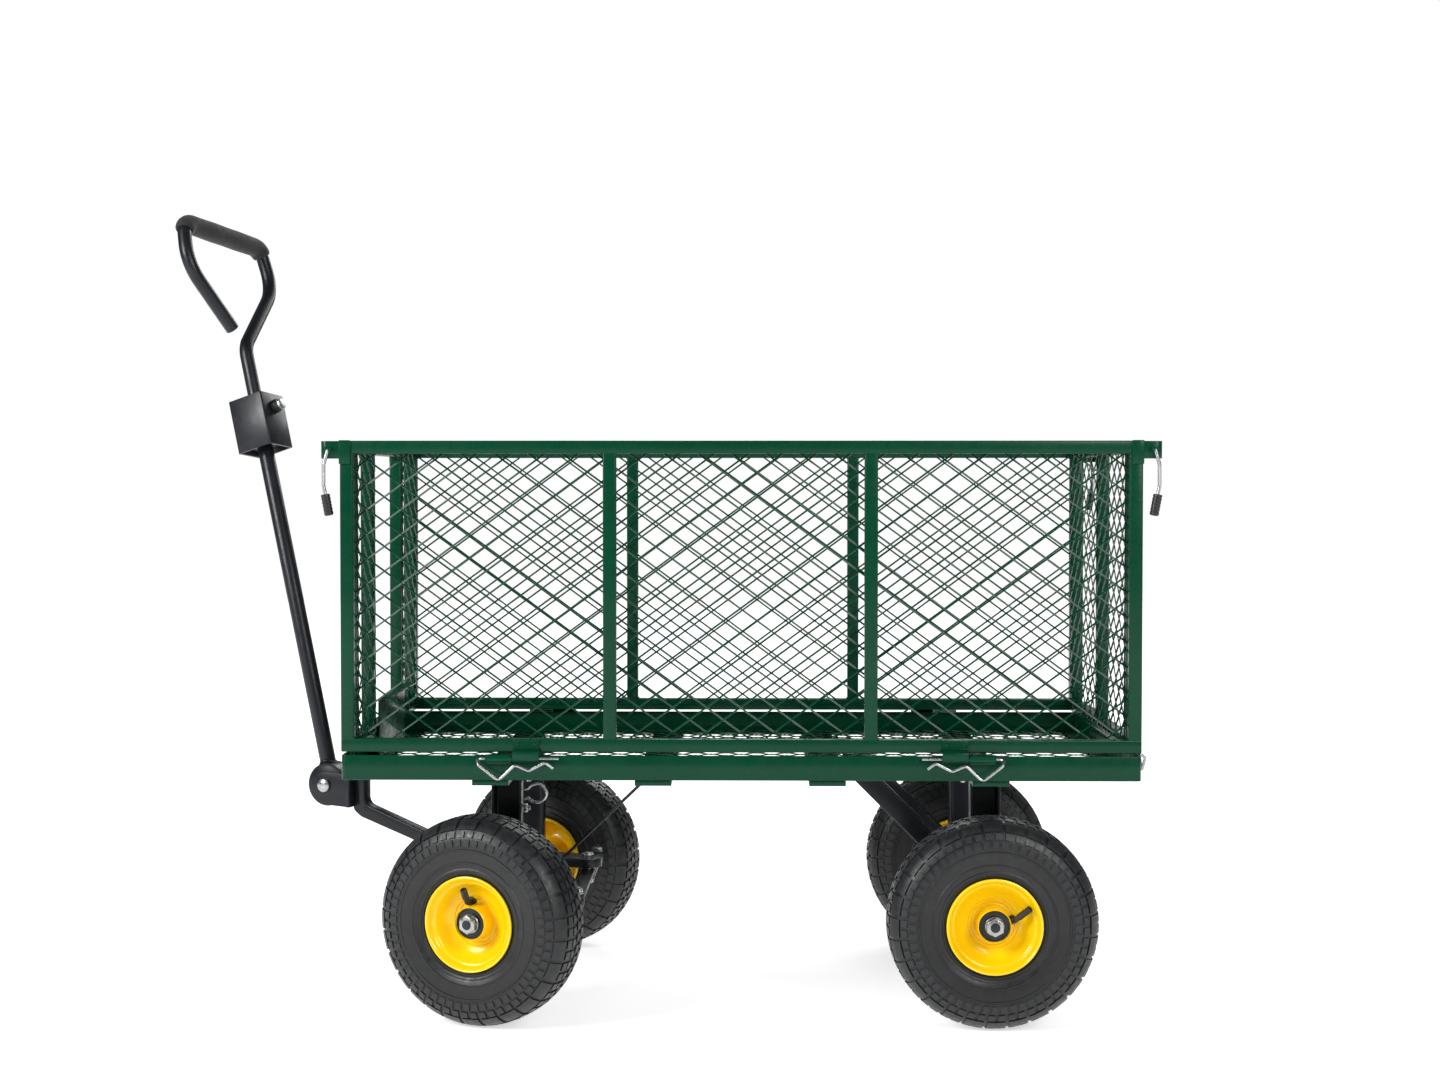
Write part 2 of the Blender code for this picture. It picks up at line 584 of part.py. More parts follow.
def build_front(parent, colours, black):
    """The front axle beam with its posts, kingpins, knuckles, wheels and brace."""
    zinc = colours[2]
    x = STEER_X
    pieces = axle_frame(x, BEAM_TOP - 0.004)
    pieces.append(spans_box((x - 0.015, x + 0.015), (-0.150, 0.150), (BEAM_LOW, BEAM_TOP)))
    cuts = [rod((x, 0, BEAM_LOW - 0.01), (x, 0, BEAM_TOP + 0.01), 0.0076)]
    for side in (-1, 1):
        for low, high in ((BEAM_LOW + 0.0002, BEAM_LOW + 0.0077), (BEAM_TOP - 0.0077, BEAM_TOP - 0.0002)):
            lug = [(x - LUG_HALF, side * 0.130), (x + LUG_HALF, side * 0.130)]
            lug += [(x + LUG_HALF * math.cos(turn), side * (KINGPIN_Y + LUG_HALF * math.sin(turn)))
                    for turn in (math.pi * step / 10 for step in range(11))]
            pieces.append(prism(lug, low, high, "Z"))
        cuts.append(rod((x, side * KINGPIN_Y, 0.09), (x, side * KINGPIN_Y, 0.17), KINGPIN_R + 0.0006))
    put("front_axle_frame", weld(pieces, cuts), black, parent)

    brace = [(MEMBER_X[1] - 0.004, -0.075, MEMBER_LOW - 0.0030), (x + 0.0172, -0.075, 0.1330)]
    put("front_brace_rod", rod(brace[0], brace[1], 0.0020, sides=8), black, parent)
    put("steering_pivot_bolt", weld([rod((x, 0, 0.104), (x, 0, 0.180), 0.0070),
                                     hexagon((x, 0, 0.1738), (x, 0, 0.1815), 0.0130)]), zinc, parent)
    loop = arc((x + 0.038, -0.150, 0.2745), 0.0120, 150, -150, 10)
    clip = [(x + POST_HALF + 0.0024, -0.150, 0.2770), *loop, (x + POST_HALF + 0.0024, -0.150, 0.2680)]
    put("post_clip", wire(clip, 0.0018), zinc, parent)

    for side, name in ((-1, "near"), (1, "far")):
        kingpin = weld([rod((x, side * KINGPIN_Y, 0.0925), (x, side * KINGPIN_Y, 0.1640), KINGPIN_R),
                        hexagon((x, side * KINGPIN_Y, BEAM_TOP + 0.0002), (x, side * KINGPIN_Y, 0.1680), 0.0110)])
        put(f"kingpin_{name}", kingpin, zinc, parent)
        steer = axis_empty(f"axis_knuckle_{name}", parent, (x, side * KINGPIN_Y, 0), (0, 0, STEER))
        arm_low = 0.1420 if side < 0 else 0.1360
        sleeve = rod((0, 0, BEAM_LOW + 0.0081), (0, 0, BEAM_TOP - 0.0081), 0.0140, sides=20)
        stub = rod((0, side * 0.008, AXLE_Z), (0, side * (STUB_OUT + HUB_HALF), AXLE_Z), AXLE_R)
        collar = rod((0, side * 0.009, AXLE_Z), (0, side * (STUB_OUT - HUB_HALF - GAP), AXLE_Z), 0.0120)
        arm = spans_box((0.006, ARM), (-0.009, 0.009), (arm_low, arm_low + 0.0085))
        end = rod((ARM, 0, arm_low), (ARM, 0, arm_low + 0.0085), 0.0090)
        stud = rod((ARM, 0, arm_low + 0.004), (ARM, 0, arm_low + 0.0175), ARM_BOLT_R)
        bore = rod((0, 0, 0.09), (0, 0, 0.17), KINGPIN_R + 0.0006)
        put(f"knuckle_{name}", weld([sleeve, stub, collar, arm, end, stud], [bore]), black, steer)
        at = Vector((0, side * STUB_OUT, AXLE_Z))
        spin = axis_empty(f"axis_wheel_front_{name}", steer, at)
        build_wheel(f"front_{name}", spin, side, colours, steer, at)


def build_drawbar(parent, black, zinc):
    """The drawbar with its handle bracket, and the two tie rods that it pushes. Returns its axis empty."""
    steer = axis_empty("axis_drawbar", parent, (STEER_X, 0, 0), (0, 0, STEER))
    plate_z = (BEAM_TOP + 0.0005, BEAM_TOP + 0.0125)
    plate = spans_box((-0.105, ARM + 0.015), (-0.019, 0.019), plate_z)
    slope = prism([(-0.098, 0.1615), (-0.098, 0.1790), (-0.240, 0.2300), (-0.240, 0.2110)], -0.009, 0.009)
    knee = prism([(-0.234, 0.2120), (-0.244, 0.2040), (-0.252, 0.2120), (-0.252, 0.2750), (-0.234, 0.2750)],
                 -0.0092, 0.0092)
    ahead, height = -PIVOT_AHEAD, PIVOT_Z
    web = spans_box((-0.2565, -0.2510), (-0.0215, 0.0215), (0.2220, 0.2680))
    cheek = [(-0.2550, 0.2225)] + [
        (ahead + 0.0225 * math.cos(a), height - 0.0045 + 0.0225 * math.sin(a))
        for a in (math.radians(-90 - 15 * step) for step in range(13))
    ] + [(-0.2550, 0.2675)]
    cheeks = [prism(cheek, min(y), max(y)) for y in ((-0.0215, -0.0173), (0.0173, 0.0215))]
    pin_hole = rod((ahead, -0.03, height), (ahead, 0.03, height), 0.0066)
    pivot_hole = rod((0, 0, 0.15), (0, 0, 0.19), 0.0076)
    rod_hole = rod((ARM, 0, 0.15), (ARM, 0, 0.19), ARM_HOLE_R)
    drawbar = weld([plate, slope, knee, web, *cheeks], [pin_hole, pivot_hole, rod_hole])
    put("drawbar", drawbar, black, steer)
    tie_bolt = weld([rod((ARM, 0, 0.1400), (ARM, 0, 0.1760), ARM_BOLT_R),
                     hexagon((ARM, 0, plate_z[1] + GAP), (ARM, 0, plate_z[1] + 0.0055), 0.0075),
                     hexagon((ARM, 0, 0.1375), (ARM, 0, 0.1442), 0.0075)])
    put("tie_rod_bolt", tie_bolt, zinc, steer)

    for side, name, low in ((-1, "near", 0.1508), (1, "far", 0.1448)):
        link = axis_empty(f"axis_tie_rod_{name}", steer, (ARM, 0, 0), (0, 0, -STEER))
        reach = side * KINGPIN_Y
        bar = spans_box((-0.0075, 0.0075), (0, reach), (low + 0.0002, low + 0.0053))
        ends = [rod((0, y, low), (0, y, low + 0.0055), 0.0095) for y in (0, reach)]
        holes = [rod((0, y, low - 0.01), (0, y, low + 0.02), ARM_HOLE_R) for y in (0, reach)]
        put(f"tie_rod_{name}", weld([bar, *ends], holes), black, link)
    return steer


def build_handle(steer, black, zinc, foam):
    """The handle: pivot bolt, rod with its boss, coupling box and bolt, and the upper loop with its grip."""
    pivot = Vector((-PIVOT_AHEAD, 0, PIVOT_Z))
    bolt = weld([rod((0, -0.0290, 0), (0, 0.0290, 0), 0.0060),
                 rod((0, -0.0275, 0), (0, -0.0218, 0), 0.0098, sides=20),
                 hexagon((0, 0.0218, 0), (0, 0.0275, 0), 0.0110)])
    put("handle_pivot_bolt", bolt, zinc, steer, location=pivot)
    tilt = axis_empty("axis_handle", steer, pivot, (0, -LEAN, 0))
    lie = axis_empty("handle_lie", tilt, (0, 0, 0), (-SIDE_LEAN, 0, 0))
    lean = Matrix.Rotation(-SIDE_LEAN, 4, "X")
    boss = rod((0, -0.0165, 0), (0, 0.0165, 0), 0.0295, sides=28)
    stem = moved(rod((0, 0, 0.0200), (0, 0, 0.5550), ROD_R), lean)
    bore = rod((0, -0.03, 0), (0, 0.03, 0), 0.0066)
    put("handle_rod", weld([boss, stem], [bore]), black, tilt)

    wall = 0.003
    outer = spans_box((-BOX_HALF, BOX_HALF), (-BOX_HALF, BOX_HALF), (BOX_LOW, BOX_TOP))
    inner_half = BOX_HALF - wall
    inner = spans_box((-inner_half, inner_half), (-inner_half, inner_half), (BOX_LOW - 0.01, BOX_TOP - wall))
    bolt_z = BOX_TOP - 0.020
    bolt_hole = rod((0.02, 0, bolt_z), (0.04, 0, bolt_z), 0.0056)
    put("coupling_box", weld([outer], [inner, bolt_hole]), black, lie)
    bolt = weld([rod((ROD_R + GAP, 0, bolt_z), (BOX_HALF + 0.015, 0, bolt_z), 0.0050),
                 rod((BOX_HALF + GAP, 0, bolt_z), (BOX_HALF + 0.0080, 0, bolt_z), 0.0100),
                 hexagon((BOX_HALF + 0.0075, 0, bolt_z), (BOX_HALF + 0.0150, 0, bolt_z), 0.0090)])
    put("coupling_bolt", bolt, zinc, lie)

    neck, wide, shoulder = 0.646, (0.104, 0.754), 0.094
    corners = [(0, 0, BOX_TOP + GAP), (0, 0, neck), (0, wide[0], wide[1]), (0, shoulder, GRIP_Z),
               (0, -shoulder, GRIP_Z), (0, -wide[0], wide[1]), (0, -0.023, neck + 0.0239)]
    put("upper_handle", wire(rounded(corners, 0.020, steps=4), LOOP_R, resolution=2), black, lie)
    half = 0.072
    sleeve = [(-half, LOOP_R + GAP), (half, LOOP_R + GAP), (half, GRIP_R - 0.001), (half - 0.002, GRIP_R),
              (-half + 0.002, GRIP_R), (-half, GRIP_R - 0.001)]
    put("handle_grip", turned(sleeve, 20), foam, lie, location=(0, 0, GRIP_Z))


def main():
    clear_scene()
    green = paint("green_paint", (0.005, 0.082, 0.040), 0.35)
    black = paint("black_paint", (0.016, 0.017, 0.020), 0.38)
    zinc = paint("zinc_plate", (0.62, 0.64, 0.66), 0.28, 1.0)
    rubber = paint("tyre_rubber", (0.030, 0.031, 0.034), 0.80)
    yellow = paint("yellow_rim", (0.90, 0.60, 0.004), 0.35)
    foam = paint("grip_foam", (0.012, 0.012, 0.013), 0.90)
    plastic = paint("black_plastic", (0.020, 0.020, 0.022), 0.55)

    cart = axis_empty("cart", None, (-FOOTPRINT_X, -FOOTPRINT_Y, 0))
    colours = (rubber, yellow, zinc)
    build_deck(cart, green, zinc)
    build_panels(cart, green, zinc, plastic)
    build_rear(cart, colours, black)
    build_front(cart, colours, black)
    steer = build_drawbar(cart, black, zinc)
    build_handle(steer, black, zinc, foam)


main()
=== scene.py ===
"""Looks of a garden cart: mesh basket on a folded deck, pneumatic wheels, knuckle steering, pull handle.

Metres, +Z up. The handle is at -X and the tailgate at +X. Pieces are drawn from the middle of the deck at
ground level, or from their own axis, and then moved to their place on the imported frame.
"""

import json
import logging
import math
from contextlib import contextmanager
from dataclasses import dataclass
from enum import Enum
from typing import Callable, Iterator, Sequence

import bmesh
import bpy
from mathutils import Matrix, Vector


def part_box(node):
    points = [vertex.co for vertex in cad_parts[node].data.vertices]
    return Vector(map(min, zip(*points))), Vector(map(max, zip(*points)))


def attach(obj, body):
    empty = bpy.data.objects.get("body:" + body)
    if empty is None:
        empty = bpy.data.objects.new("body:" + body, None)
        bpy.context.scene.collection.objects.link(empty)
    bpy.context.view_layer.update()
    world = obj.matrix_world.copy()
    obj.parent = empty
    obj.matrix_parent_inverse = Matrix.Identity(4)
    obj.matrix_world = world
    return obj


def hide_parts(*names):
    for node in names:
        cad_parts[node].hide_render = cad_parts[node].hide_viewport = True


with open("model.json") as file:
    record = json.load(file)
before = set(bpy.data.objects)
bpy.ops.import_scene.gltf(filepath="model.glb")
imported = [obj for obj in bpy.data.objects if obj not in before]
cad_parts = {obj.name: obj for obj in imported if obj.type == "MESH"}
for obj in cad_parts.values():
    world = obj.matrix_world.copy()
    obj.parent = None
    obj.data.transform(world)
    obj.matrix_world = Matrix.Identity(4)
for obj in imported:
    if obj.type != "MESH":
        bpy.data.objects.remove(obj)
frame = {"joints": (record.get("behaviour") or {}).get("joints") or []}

LOG = logging.getLogger("garden_cart")
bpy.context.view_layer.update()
Point = Sequence[float]
Color = tuple[float, float, float]
IDENTITY = Matrix.Identity(4)
LAID = Matrix.Rotation(-math.pi / 2, 4, "X")
HALF_TURN = Matrix.Rotation(math.pi, 4, "Z")


def middle_of(node: str) -> Vector:
    """Gives the middle of a node's box.

    Args:
        node: The frame node's name.

    Returns:
        The point halfway between the box's corners.
    """
    low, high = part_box(node)
    return (low + high) / 2


def joint_point(name: str) -> Vector:
    """Gives the point that a hinge turns about.

    Args:
        name: The joint's name in the record.

    Returns:
        A point on the joint's axis.
    """
    return Vector(next(joint["pos_m"] for joint in frame["joints"] if joint["name"] == name))


STEER = math.radians(-20)
LEAN = math.radians(16.8)
SIDE_LEAN = math.radians(6.4)
DECK = Matrix.Translation((*middle_of("deck_floor_mesh").xy, 0))
STEERED = Matrix.Translation((*joint_point("steering").xy, 0)) @ Matrix.Rotation(STEER, 4, "Z")
PIVOT = (Matrix.Translation(joint_point("handle_tilt")) @ Matrix.Rotation(STEER, 4, "Z")
         @ Matrix.Rotation(-LEAN, 4, "Y"))
HANDLE = PIVOT @ Matrix.Rotation(-SIDE_LEAN, 4, "X")


# ---------------------------------------------------------------- finishes


class Finish(Enum):
    """The finishes, each by the record's slot that it belongs to."""

    GREEN = "green_paint"
    BLACK = "black_paint"
    ZINC = "zinc_plate"
    TYRE = "tyre_rubber"
    YELLOW = "yellow_rim"
    FOAM = "grip_foam"
    PLASTIC = "black_plastic"


class Graph:
    """A new material's nodes, with short ways to add and join them."""

    def __init__(self, name: str) -> None:
        """Starts the material with its shader.

        Args:
            name: The material's name.
        """
        self.material = bpy.data.materials.new(name)
        self.material.use_nodes = True
        self.tree = self.material.node_tree
        self.shader = self.tree.nodes["Principled BSDF"]
        self.place = self.node("ShaderNodeTexCoord").outputs["Object"]

    def node(self, kind: str, **settings: object) -> bpy.types.Node:
        """Adds a node.

        Args:
            kind: The node's type.
            settings: Values of its properties.

        Returns:
            The node.
        """
        made = self.tree.nodes.new(kind)
        for key, value in settings.items():
            setattr(made, key, value)
        return made

    def noise(self, scale: float, detail: float = 3.0, stretch: Point = (1, 1, 1)) -> bpy.types.NodeSocket:
        """Adds noise in space.

        Args:
            scale: How many features there are per metre.
            detail: The noise's octaves.
            stretch: How the pattern is scaled along each axis.

        Returns:
            The noise's value.
        """
        mapping = self.node("ShaderNodeMapping")
        mapping.inputs["Scale"].default_value = stretch
        self.tree.links.new(self.place, mapping.inputs["Vector"])
        noise = self.node("ShaderNodeTexNoise")
        noise.inputs["Scale"].default_value = scale
        noise.inputs["Detail"].default_value = detail
        self.tree.links.new(mapping.outputs["Vector"], noise.inputs["Vector"])
        return noise.outputs["Fac"]

    def cells(self, scale: float) -> bpy.types.NodeSocket:
        """Adds the distance to the nearest cell of a Voronoi pattern, of this many cells per metre."""
        cells = self.node("ShaderNodeTexVoronoi")
        cells.inputs["Scale"].default_value = scale
        self.tree.links.new(self.place, cells.inputs["Vector"])
        return cells.outputs["Distance"]

    def edges(self, low: float, high: float) -> bpy.types.NodeSocket:
        """Gives 0 on flats and 1 on outer edges.

        Args:
            low: The pointedness where an edge begins.
            high: The pointedness where it is full.

        Returns:
            The edge mask.
        """
        return self.spread(self.node("ShaderNodeNewGeometry").outputs["Pointiness"], low, high, 0.0, 1.0)

    def spread(self, value: bpy.types.NodeSocket, low: float, high: float, new_low: float,
               new_high: float) -> bpy.types.NodeSocket:
        """Maps a value from one range to another, clamped.

        Args:
            value: The socket to map.
            low: The value that becomes new_low.
            high: The value that becomes new_high.
            new_low: The result's one end.
            new_high: The result's other end.

        Returns:
            The mapped value.
        """
        spread = self.node("ShaderNodeMapRange")
        self.tree.links.new(value, spread.inputs["Value"])
        for key, number in zip(("From Min", "From Max", "To Min", "To Max"), (low, high, new_low, new_high)):
            spread.inputs[key].default_value = number
        return spread.outputs["Result"]

    def mix(self, amount: bpy.types.NodeSocket, first: object, second: object) -> bpy.types.NodeSocket:
        """Mixes two colours.

        Args:
            amount: How much of the second shows.
            first: A colour or a socket.
            second: A colour or a socket.

        Returns:
            The mixed colour.
        """
        mix = self.node("ShaderNodeMix", data_type="RGBA")
        self.tree.links.new(amount, mix.inputs["Factor"])
        for socket, value in ((mix.inputs[6], first), (mix.inputs[7], second)):
            if isinstance(value, tuple):
                socket.default_value = (*value, 1.0)
            else:
                self.tree.links.new(value, socket)
        return mix.outputs[2]

    def bump(self, height: bpy.types.NodeSocket, depth: float, strength: float = 1.0) -> None:
        """Adds relief on top of any that is there.

        Args:
            height: The relief's height, from 0 to 1.
            depth: The height's size in metres.
            strength: How strongly it shows.
        """
        bump = self.node("ShaderNodeBump")
        bump.inputs["Distance"].default_value = depth
        bump.inputs["Strength"].default_value = strength
        self.tree.links.new(height, bump.inputs["Height"])
        normal = self.shader.inputs["Normal"]
        if normal.is_linked:
            self.tree.links.new(normal.links[0].from_socket, bump.inputs["Normal"])
        self.tree.links.new(bump.outputs["Normal"], normal)

    def wire(self, socket: str, value: object) -> None:
        """Sets a socket of the shader, or joins a node's output to it.

        Args:
            socket: The shader's socket.
            value: A number, a colour or a socket.
        """
        if isinstance(value, bpy.types.NodeSocket):
            self.tree.links.new(value, self.shader.inputs[socket])
        elif isinstance(value, tuple):
            self.shader.inputs[socket].default_value = (*value, 1.0)
        else:
            self.shader.inputs[socket].default_value = value


@dataclass(frozen=True)
class Paint:
    """Sprayed paint on steel, with a little orange peel and dust, and paler edges that are partly thinner
    paint and partly a painted highlight.
    """

    name: str
    color: Color
    shade: Color
    # Paler edge colour: partly thinner paint, partly a painted highlight along the edges.
    edge: Color
    roughness: float
    coat: float
    peel: float = 0.00006
    gleam: float = 0.14

    def make(self) -> bpy.types.Material:
        """Builds the material."""
        graph = Graph(self.name)
        body = graph.mix(graph.spread(graph.noise(9.0, 4.0), 0.35, 0.65, 0, 1), self.color, self.shade)
        # Edges are mixed towards the edge colour: a painted highlight, with thinner paint there too.
        graph.wire("Base Color", graph.mix(graph.edges(0.52, 0.62), body, self.edge))
        graph.wire("Roughness", graph.spread(graph.noise(70.0, 5.0), 0.3, 0.7, self.roughness - 0.05,
                                             self.roughness + 0.08))
        graph.wire("Coat Weight", self.coat)
        graph.wire("Coat Roughness", 0.12)
        graph.wire("Specular IOR Level", self.gleam)
        graph.bump(graph.noise(420.0, 2.0), self.peel)
        graph.bump(graph.noise(38.0, 3.0), 0.00012, 0.6)
        return graph.material


@dataclass(frozen=True)
class Zinc:
    """Bright zinc plate, drawn or pressed, with faint yellow and blue passivation."""

    name: str
    color: Color
    tint: Color
    roughness: float

    def make(self) -> bpy.types.Material:
        """Builds the material."""
        graph = Graph(self.name)
        body = graph.mix(graph.spread(graph.noise(140.0, 4.0), 0.4, 0.62, 0, 1), self.color, self.tint)
        grime = graph.spread(graph.noise(520.0, 6.0), 0.56, 0.72, 0, 0.35)
        graph.wire("Base Color", graph.mix(grime, body, (0.30, 0.30, 0.31)))
        graph.wire("Metallic", 1.0)
        graph.wire("Roughness", graph.spread(graph.noise(260.0, 5.0), 0.3, 0.7, self.roughness - 0.07,
                                             self.roughness + 0.14))
        graph.bump(graph.noise(900.0, 3.0), 0.00004)
        return graph.material


@dataclass(frozen=True)
class Rubber:
    """Moulded tyre rubber: dull, with fine pitting and paler dust on the wearing faces; the paler block edges
    are partly dust and partly a painted highlight.
    """

    name: str
    color: Color
    # The dust colour, which the block edges also take as a painted highlight.
    dust_and_edge_glint: Color
    roughness: float

    def make(self) -> bpy.types.Material:
        """Builds the material."""
        graph = Graph(self.name)
        worn = graph.spread(graph.noise(60.0, 6.0), 0.45, 0.75, 0, 0.55)
        body = graph.mix(worn, self.color, self.dust_and_edge_glint)
        # Block edges are mixed towards the dust colour: partly dust, partly a painted highlight of the glints
        # on the block edges.
        graph.wire("Base Color", graph.mix(graph.edges(0.51, 0.60), body, self.dust_and_edge_glint))
        graph.wire("Roughness", graph.spread(graph.noise(150.0, 5.0), 0.3, 0.7, self.roughness - 0.12,
                                             self.roughness + 0.1))
        graph.wire("Specular IOR Level", 0.50)
        graph.wire("Sheen Weight", 0.06)
        graph.bump(graph.noise(1400.0, 2.0), 0.00005)
        graph.bump(graph.noise(210.0, 5.0), 0.00016, 0.7)
        return graph.material


@dataclass(frozen=True)
class Foam:
    """Closed-cell foam with fine open pores on its skin."""

    name: str
    color: Color
    pore: Color

    def make(self) -> bpy.types.Material:
        """Builds the material."""
        graph = Graph(self.name)
        pores = graph.spread(graph.cells(1500.0), 0.1, 0.5, 0, 1)
        graph.wire("Base Color", graph.mix(pores, self.pore, self.color))
        graph.wire("Roughness", graph.spread(graph.noise(120.0, 4.0), 0.3, 0.7, 0.72, 0.9))
        graph.wire("Sheen Weight", 0.12)
        graph.bump(pores, 0.0001)
        graph.bump(graph.noise(55.0, 4.0), 0.0006, 0.5)
        return graph.material


@dataclass(frozen=True)
class Plastic:
    """Moulded plastic with a fine spark-eroded grain."""

    name: str
    color: Color
    roughness: float

    def make(self) -> bpy.types.Material:
        """Builds the material."""
        graph = Graph(self.name)
        pale = tuple(channel * 1.9 + 0.004 for channel in self.color)
        graph.wire("Base Color", graph.mix(graph.spread(graph.noise(45.0, 4.0), 0.4, 0.7, 0, 1), self.color,
                                           pale))
        graph.wire("Roughness", graph.spread(graph.noise(300.0, 3.0), 0.3, 0.7, self.roughness - 0.08,
                                             self.roughness + 0.1))
        graph.bump(graph.noise(1900.0, 2.0), 0.00004)
        return graph.material


# In each Paint the third colour is the paler edge colour: partly thinner paint, partly a painted highlight.
RECIPES = {
    Finish.GREEN: Paint("green_gloss", (0.0004, 0.0400, 0.0170), (0.0003, 0.0330, 0.0140),
                        (0.001, 0.052, 0.026),
                        0.26, 0.08),
    Finish.BLACK: Paint("black_satin", (0.0040, 0.0048, 0.0068), (0.0055, 0.0064, 0.0088),
                        (0.016, 0.018, 0.023),
                        0.34, 0.05, 0.00009, 0.30),
    Finish.YELLOW: Paint("yellow_gloss", (0.900, 0.580, 0.002), (0.860, 0.530, 0.002), (0.98, 0.74, 0.04),
                         0.30, 0.5),
    Finish.ZINC: Zinc("bright_zinc", (0.46, 0.47, 0.49), (0.40, 0.41, 0.40), 0.28),
    # The tyre's second colour is its dust, also put on the block edges as a painted highlight.
    Finish.TYRE: Rubber("tyre_black", (0.0034, 0.0037, 0.0045), (0.0110, 0.0120, 0.0140), 0.45),
    Finish.FOAM: Foam("grip_foam_skin", (0.0080, 0.0083, 0.0092), (0.003, 0.003, 0.003)),
    Finish.PLASTIC: Plastic("moulded_black", (0.0070, 0.0074, 0.0084), 0.42),
}
MATERIALS = {finish: recipe.make() for finish, recipe in RECIPES.items()}


# ---------------------------------------------------------------- bench tools


def make_active(obj: bpy.types.Object) -> None:
    """Selects one object alone and makes it active."""
    bpy.ops.object.select_all(action="DESELECT")
    obj.select_set(True)
    bpy.context.view_layer.objects.active = obj


@contextmanager
def editing(obj: bpy.types.Object) -> Iterator[None]:
    """Opens an object in edit mode with nothing selected, and closes it again."""
    make_active(obj)
    bpy.ops.object.mode_set(mode="EDIT")
    bpy.ops.mesh.select_all(action="DESELECT")
    yield
    bpy.ops.object.mode_set(mode="OBJECT")


def pick(obj: bpy.types.Object, kind: str, test: Callable[[object], bool]) -> None:
    """Selects what passes a test, in edit mode.

    Args:
        obj: The object in edit mode.
        kind: "faces", "edges" or "verts".
        test: Says whether an element is wanted.
    """
    bpy.ops.mesh.select_all(action="DESELECT")
    bpy.ops.mesh.select_mode(type={"faces": "FACE", "edges": "EDGE", "verts": "VERT"}[kind])
    cage = bmesh.from_edit_mesh(obj.data)
    for item in [item for item in getattr(cage, kind) if test(item)]:
        item.select_set(True)
    cage.select_flush_mode()
    bmesh.update_edit_mesh(obj.data)


def settle(obj: bpy.types.Object, matrix: Matrix = IDENTITY) -> bpy.types.Object:
    """Moves an object by a matrix and puts its place into its mesh.

    Args:
        obj: The object.
        matrix: Where it goes from where it is.

    Returns:
        The same object, at the origin.
    """
    obj.matrix_world = matrix @ obj.matrix_world
    make_active(obj)
    bpy.ops.object.transform_apply(location=True, rotation=True, scale=True)
    return obj


def modified(obj: bpy.types.Object, kind: str, **settings: object) -> bpy.types.Object:
    """Adds a modifier and applies it.

    Args:
        obj: The object.
        kind: The modifier's type.
        settings: The modifier's values.

    Returns:
        The same object.
    """
    modifier = obj.modifiers.new(kind.title(), kind)
    for key, value in settings.items():
        setattr(modifier, key, value)
    make_active(obj)
    bpy.ops.object.modifier_apply(modifier=modifier.name)
    return obj


def rounded_off(obj: bpy.types.Object, width: float, segments: int = 2,
                angle: float = 30) -> bpy.types.Object:
    """Rounds an object's sharp edges and shades it.

    Args:
        obj: The object.
        width: The round's width.
        segments: The round's facets.
        angle: The sharpest turn, in degrees, that is left alone.

    Returns:
        The same object.
    """
    modified(obj, "BEVEL", width=width, segments=segments, limit_method="ANGLE",
             angle_limit=math.radians(angle),
             use_clamp_overlap=True)
    make_active(obj)
    bpy.ops.object.shade_smooth_by_angle(angle=math.radians(40))
    return obj


def block(x: Point, y: Point, z: Point, edge: float = 0.0008, segments: int = 2) -> bpy.types.Object:
    """A bar or plate with rounded edges.

    Args:
        x: Its two ends along X.
        y: Its two ends along Y.
        z: Its two ends along Z.
        edge: The round of its edges.
        segments: The round's facets.

    Returns:
        The bar.
    """
    middle = [(min(span) + max(span)) / 2 for span in (x, y, z)]
    size = [max(span) - min(span) for span in (x, y, z)]
    bpy.ops.object.select_all(action="DESELECT")
    bpy.ops.mesh.primitive_cube_add(size=1, location=middle, scale=size)
    return rounded_off(settle(bpy.context.object), edge, segments)


def line(points: Sequence[Point], closed: bool = False) -> bpy.types.Object:
    """Draws an edge through points: a plane shrunk to one vertex, which is then extruded from point to point.

    Args:
        points: The points.
        closed: Whether the last is joined to the first.

    Returns:
        The object, of edges alone.
    """
    points = [Vector(point) for point in points]
    bpy.ops.object.select_all(action="DESELECT")
    bpy.ops.mesh.primitive_plane_add(size=0.01, location=points[0])
    obj = settle(bpy.context.object)
    with editing(obj):
        bpy.ops.mesh.select_mode(type="VERT")
        bpy.ops.mesh.select_all(action="SELECT")
        bpy.ops.mesh.merge(type="CENTER")
        for before, after in zip(points, points[1:]):
            bpy.ops.mesh.extrude_region_move(TRANSFORM_OT_translate={"value": after - before})
        if closed:
            pick(obj, "verts", lambda vertex: len(vertex.link_edges) == 1)
            bpy.ops.mesh.edge_face_add()
    return obj


def mended() -> None:
    """Merges doubled vertices and turns all faces outwards, in edit mode."""
    bpy.ops.mesh.select_all(action="SELECT")
    bpy.ops.mesh.remove_doubles(threshold=0.00001)
    bpy.ops.mesh.select_all(action="SELECT")
    bpy.ops.mesh.normals_make_consistent(inside=False)


def lathe(profile: Sequence[Point], steps: int = 48, closed: bool = True,
          angle: float = 32) -> bpy.types.Object:
    """Turns a profile about the Y axis.

    Args:
        profile: Points of (along, radius).
        steps: How many facets go round.
        closed: Whether the profile is a loop. An open one ends on the axis.
        angle: The sharpest edge, in degrees, that is shaded smooth.

    Returns:
        The turned solid.
    """
    obj = line([(0, along, radius) for along, radius in profile], closed)
    with editing(obj):
        bpy.ops.mesh.select_all(action="SELECT")
        bpy.ops.mesh.spin(steps=steps, angle=math.tau, center=(0, 0, 0), axis=(0, 1, 0))
        mended()
    make_active(obj)
    bpy.ops.object.shade_smooth_by_angle(angle=math.radians(angle))
    return obj


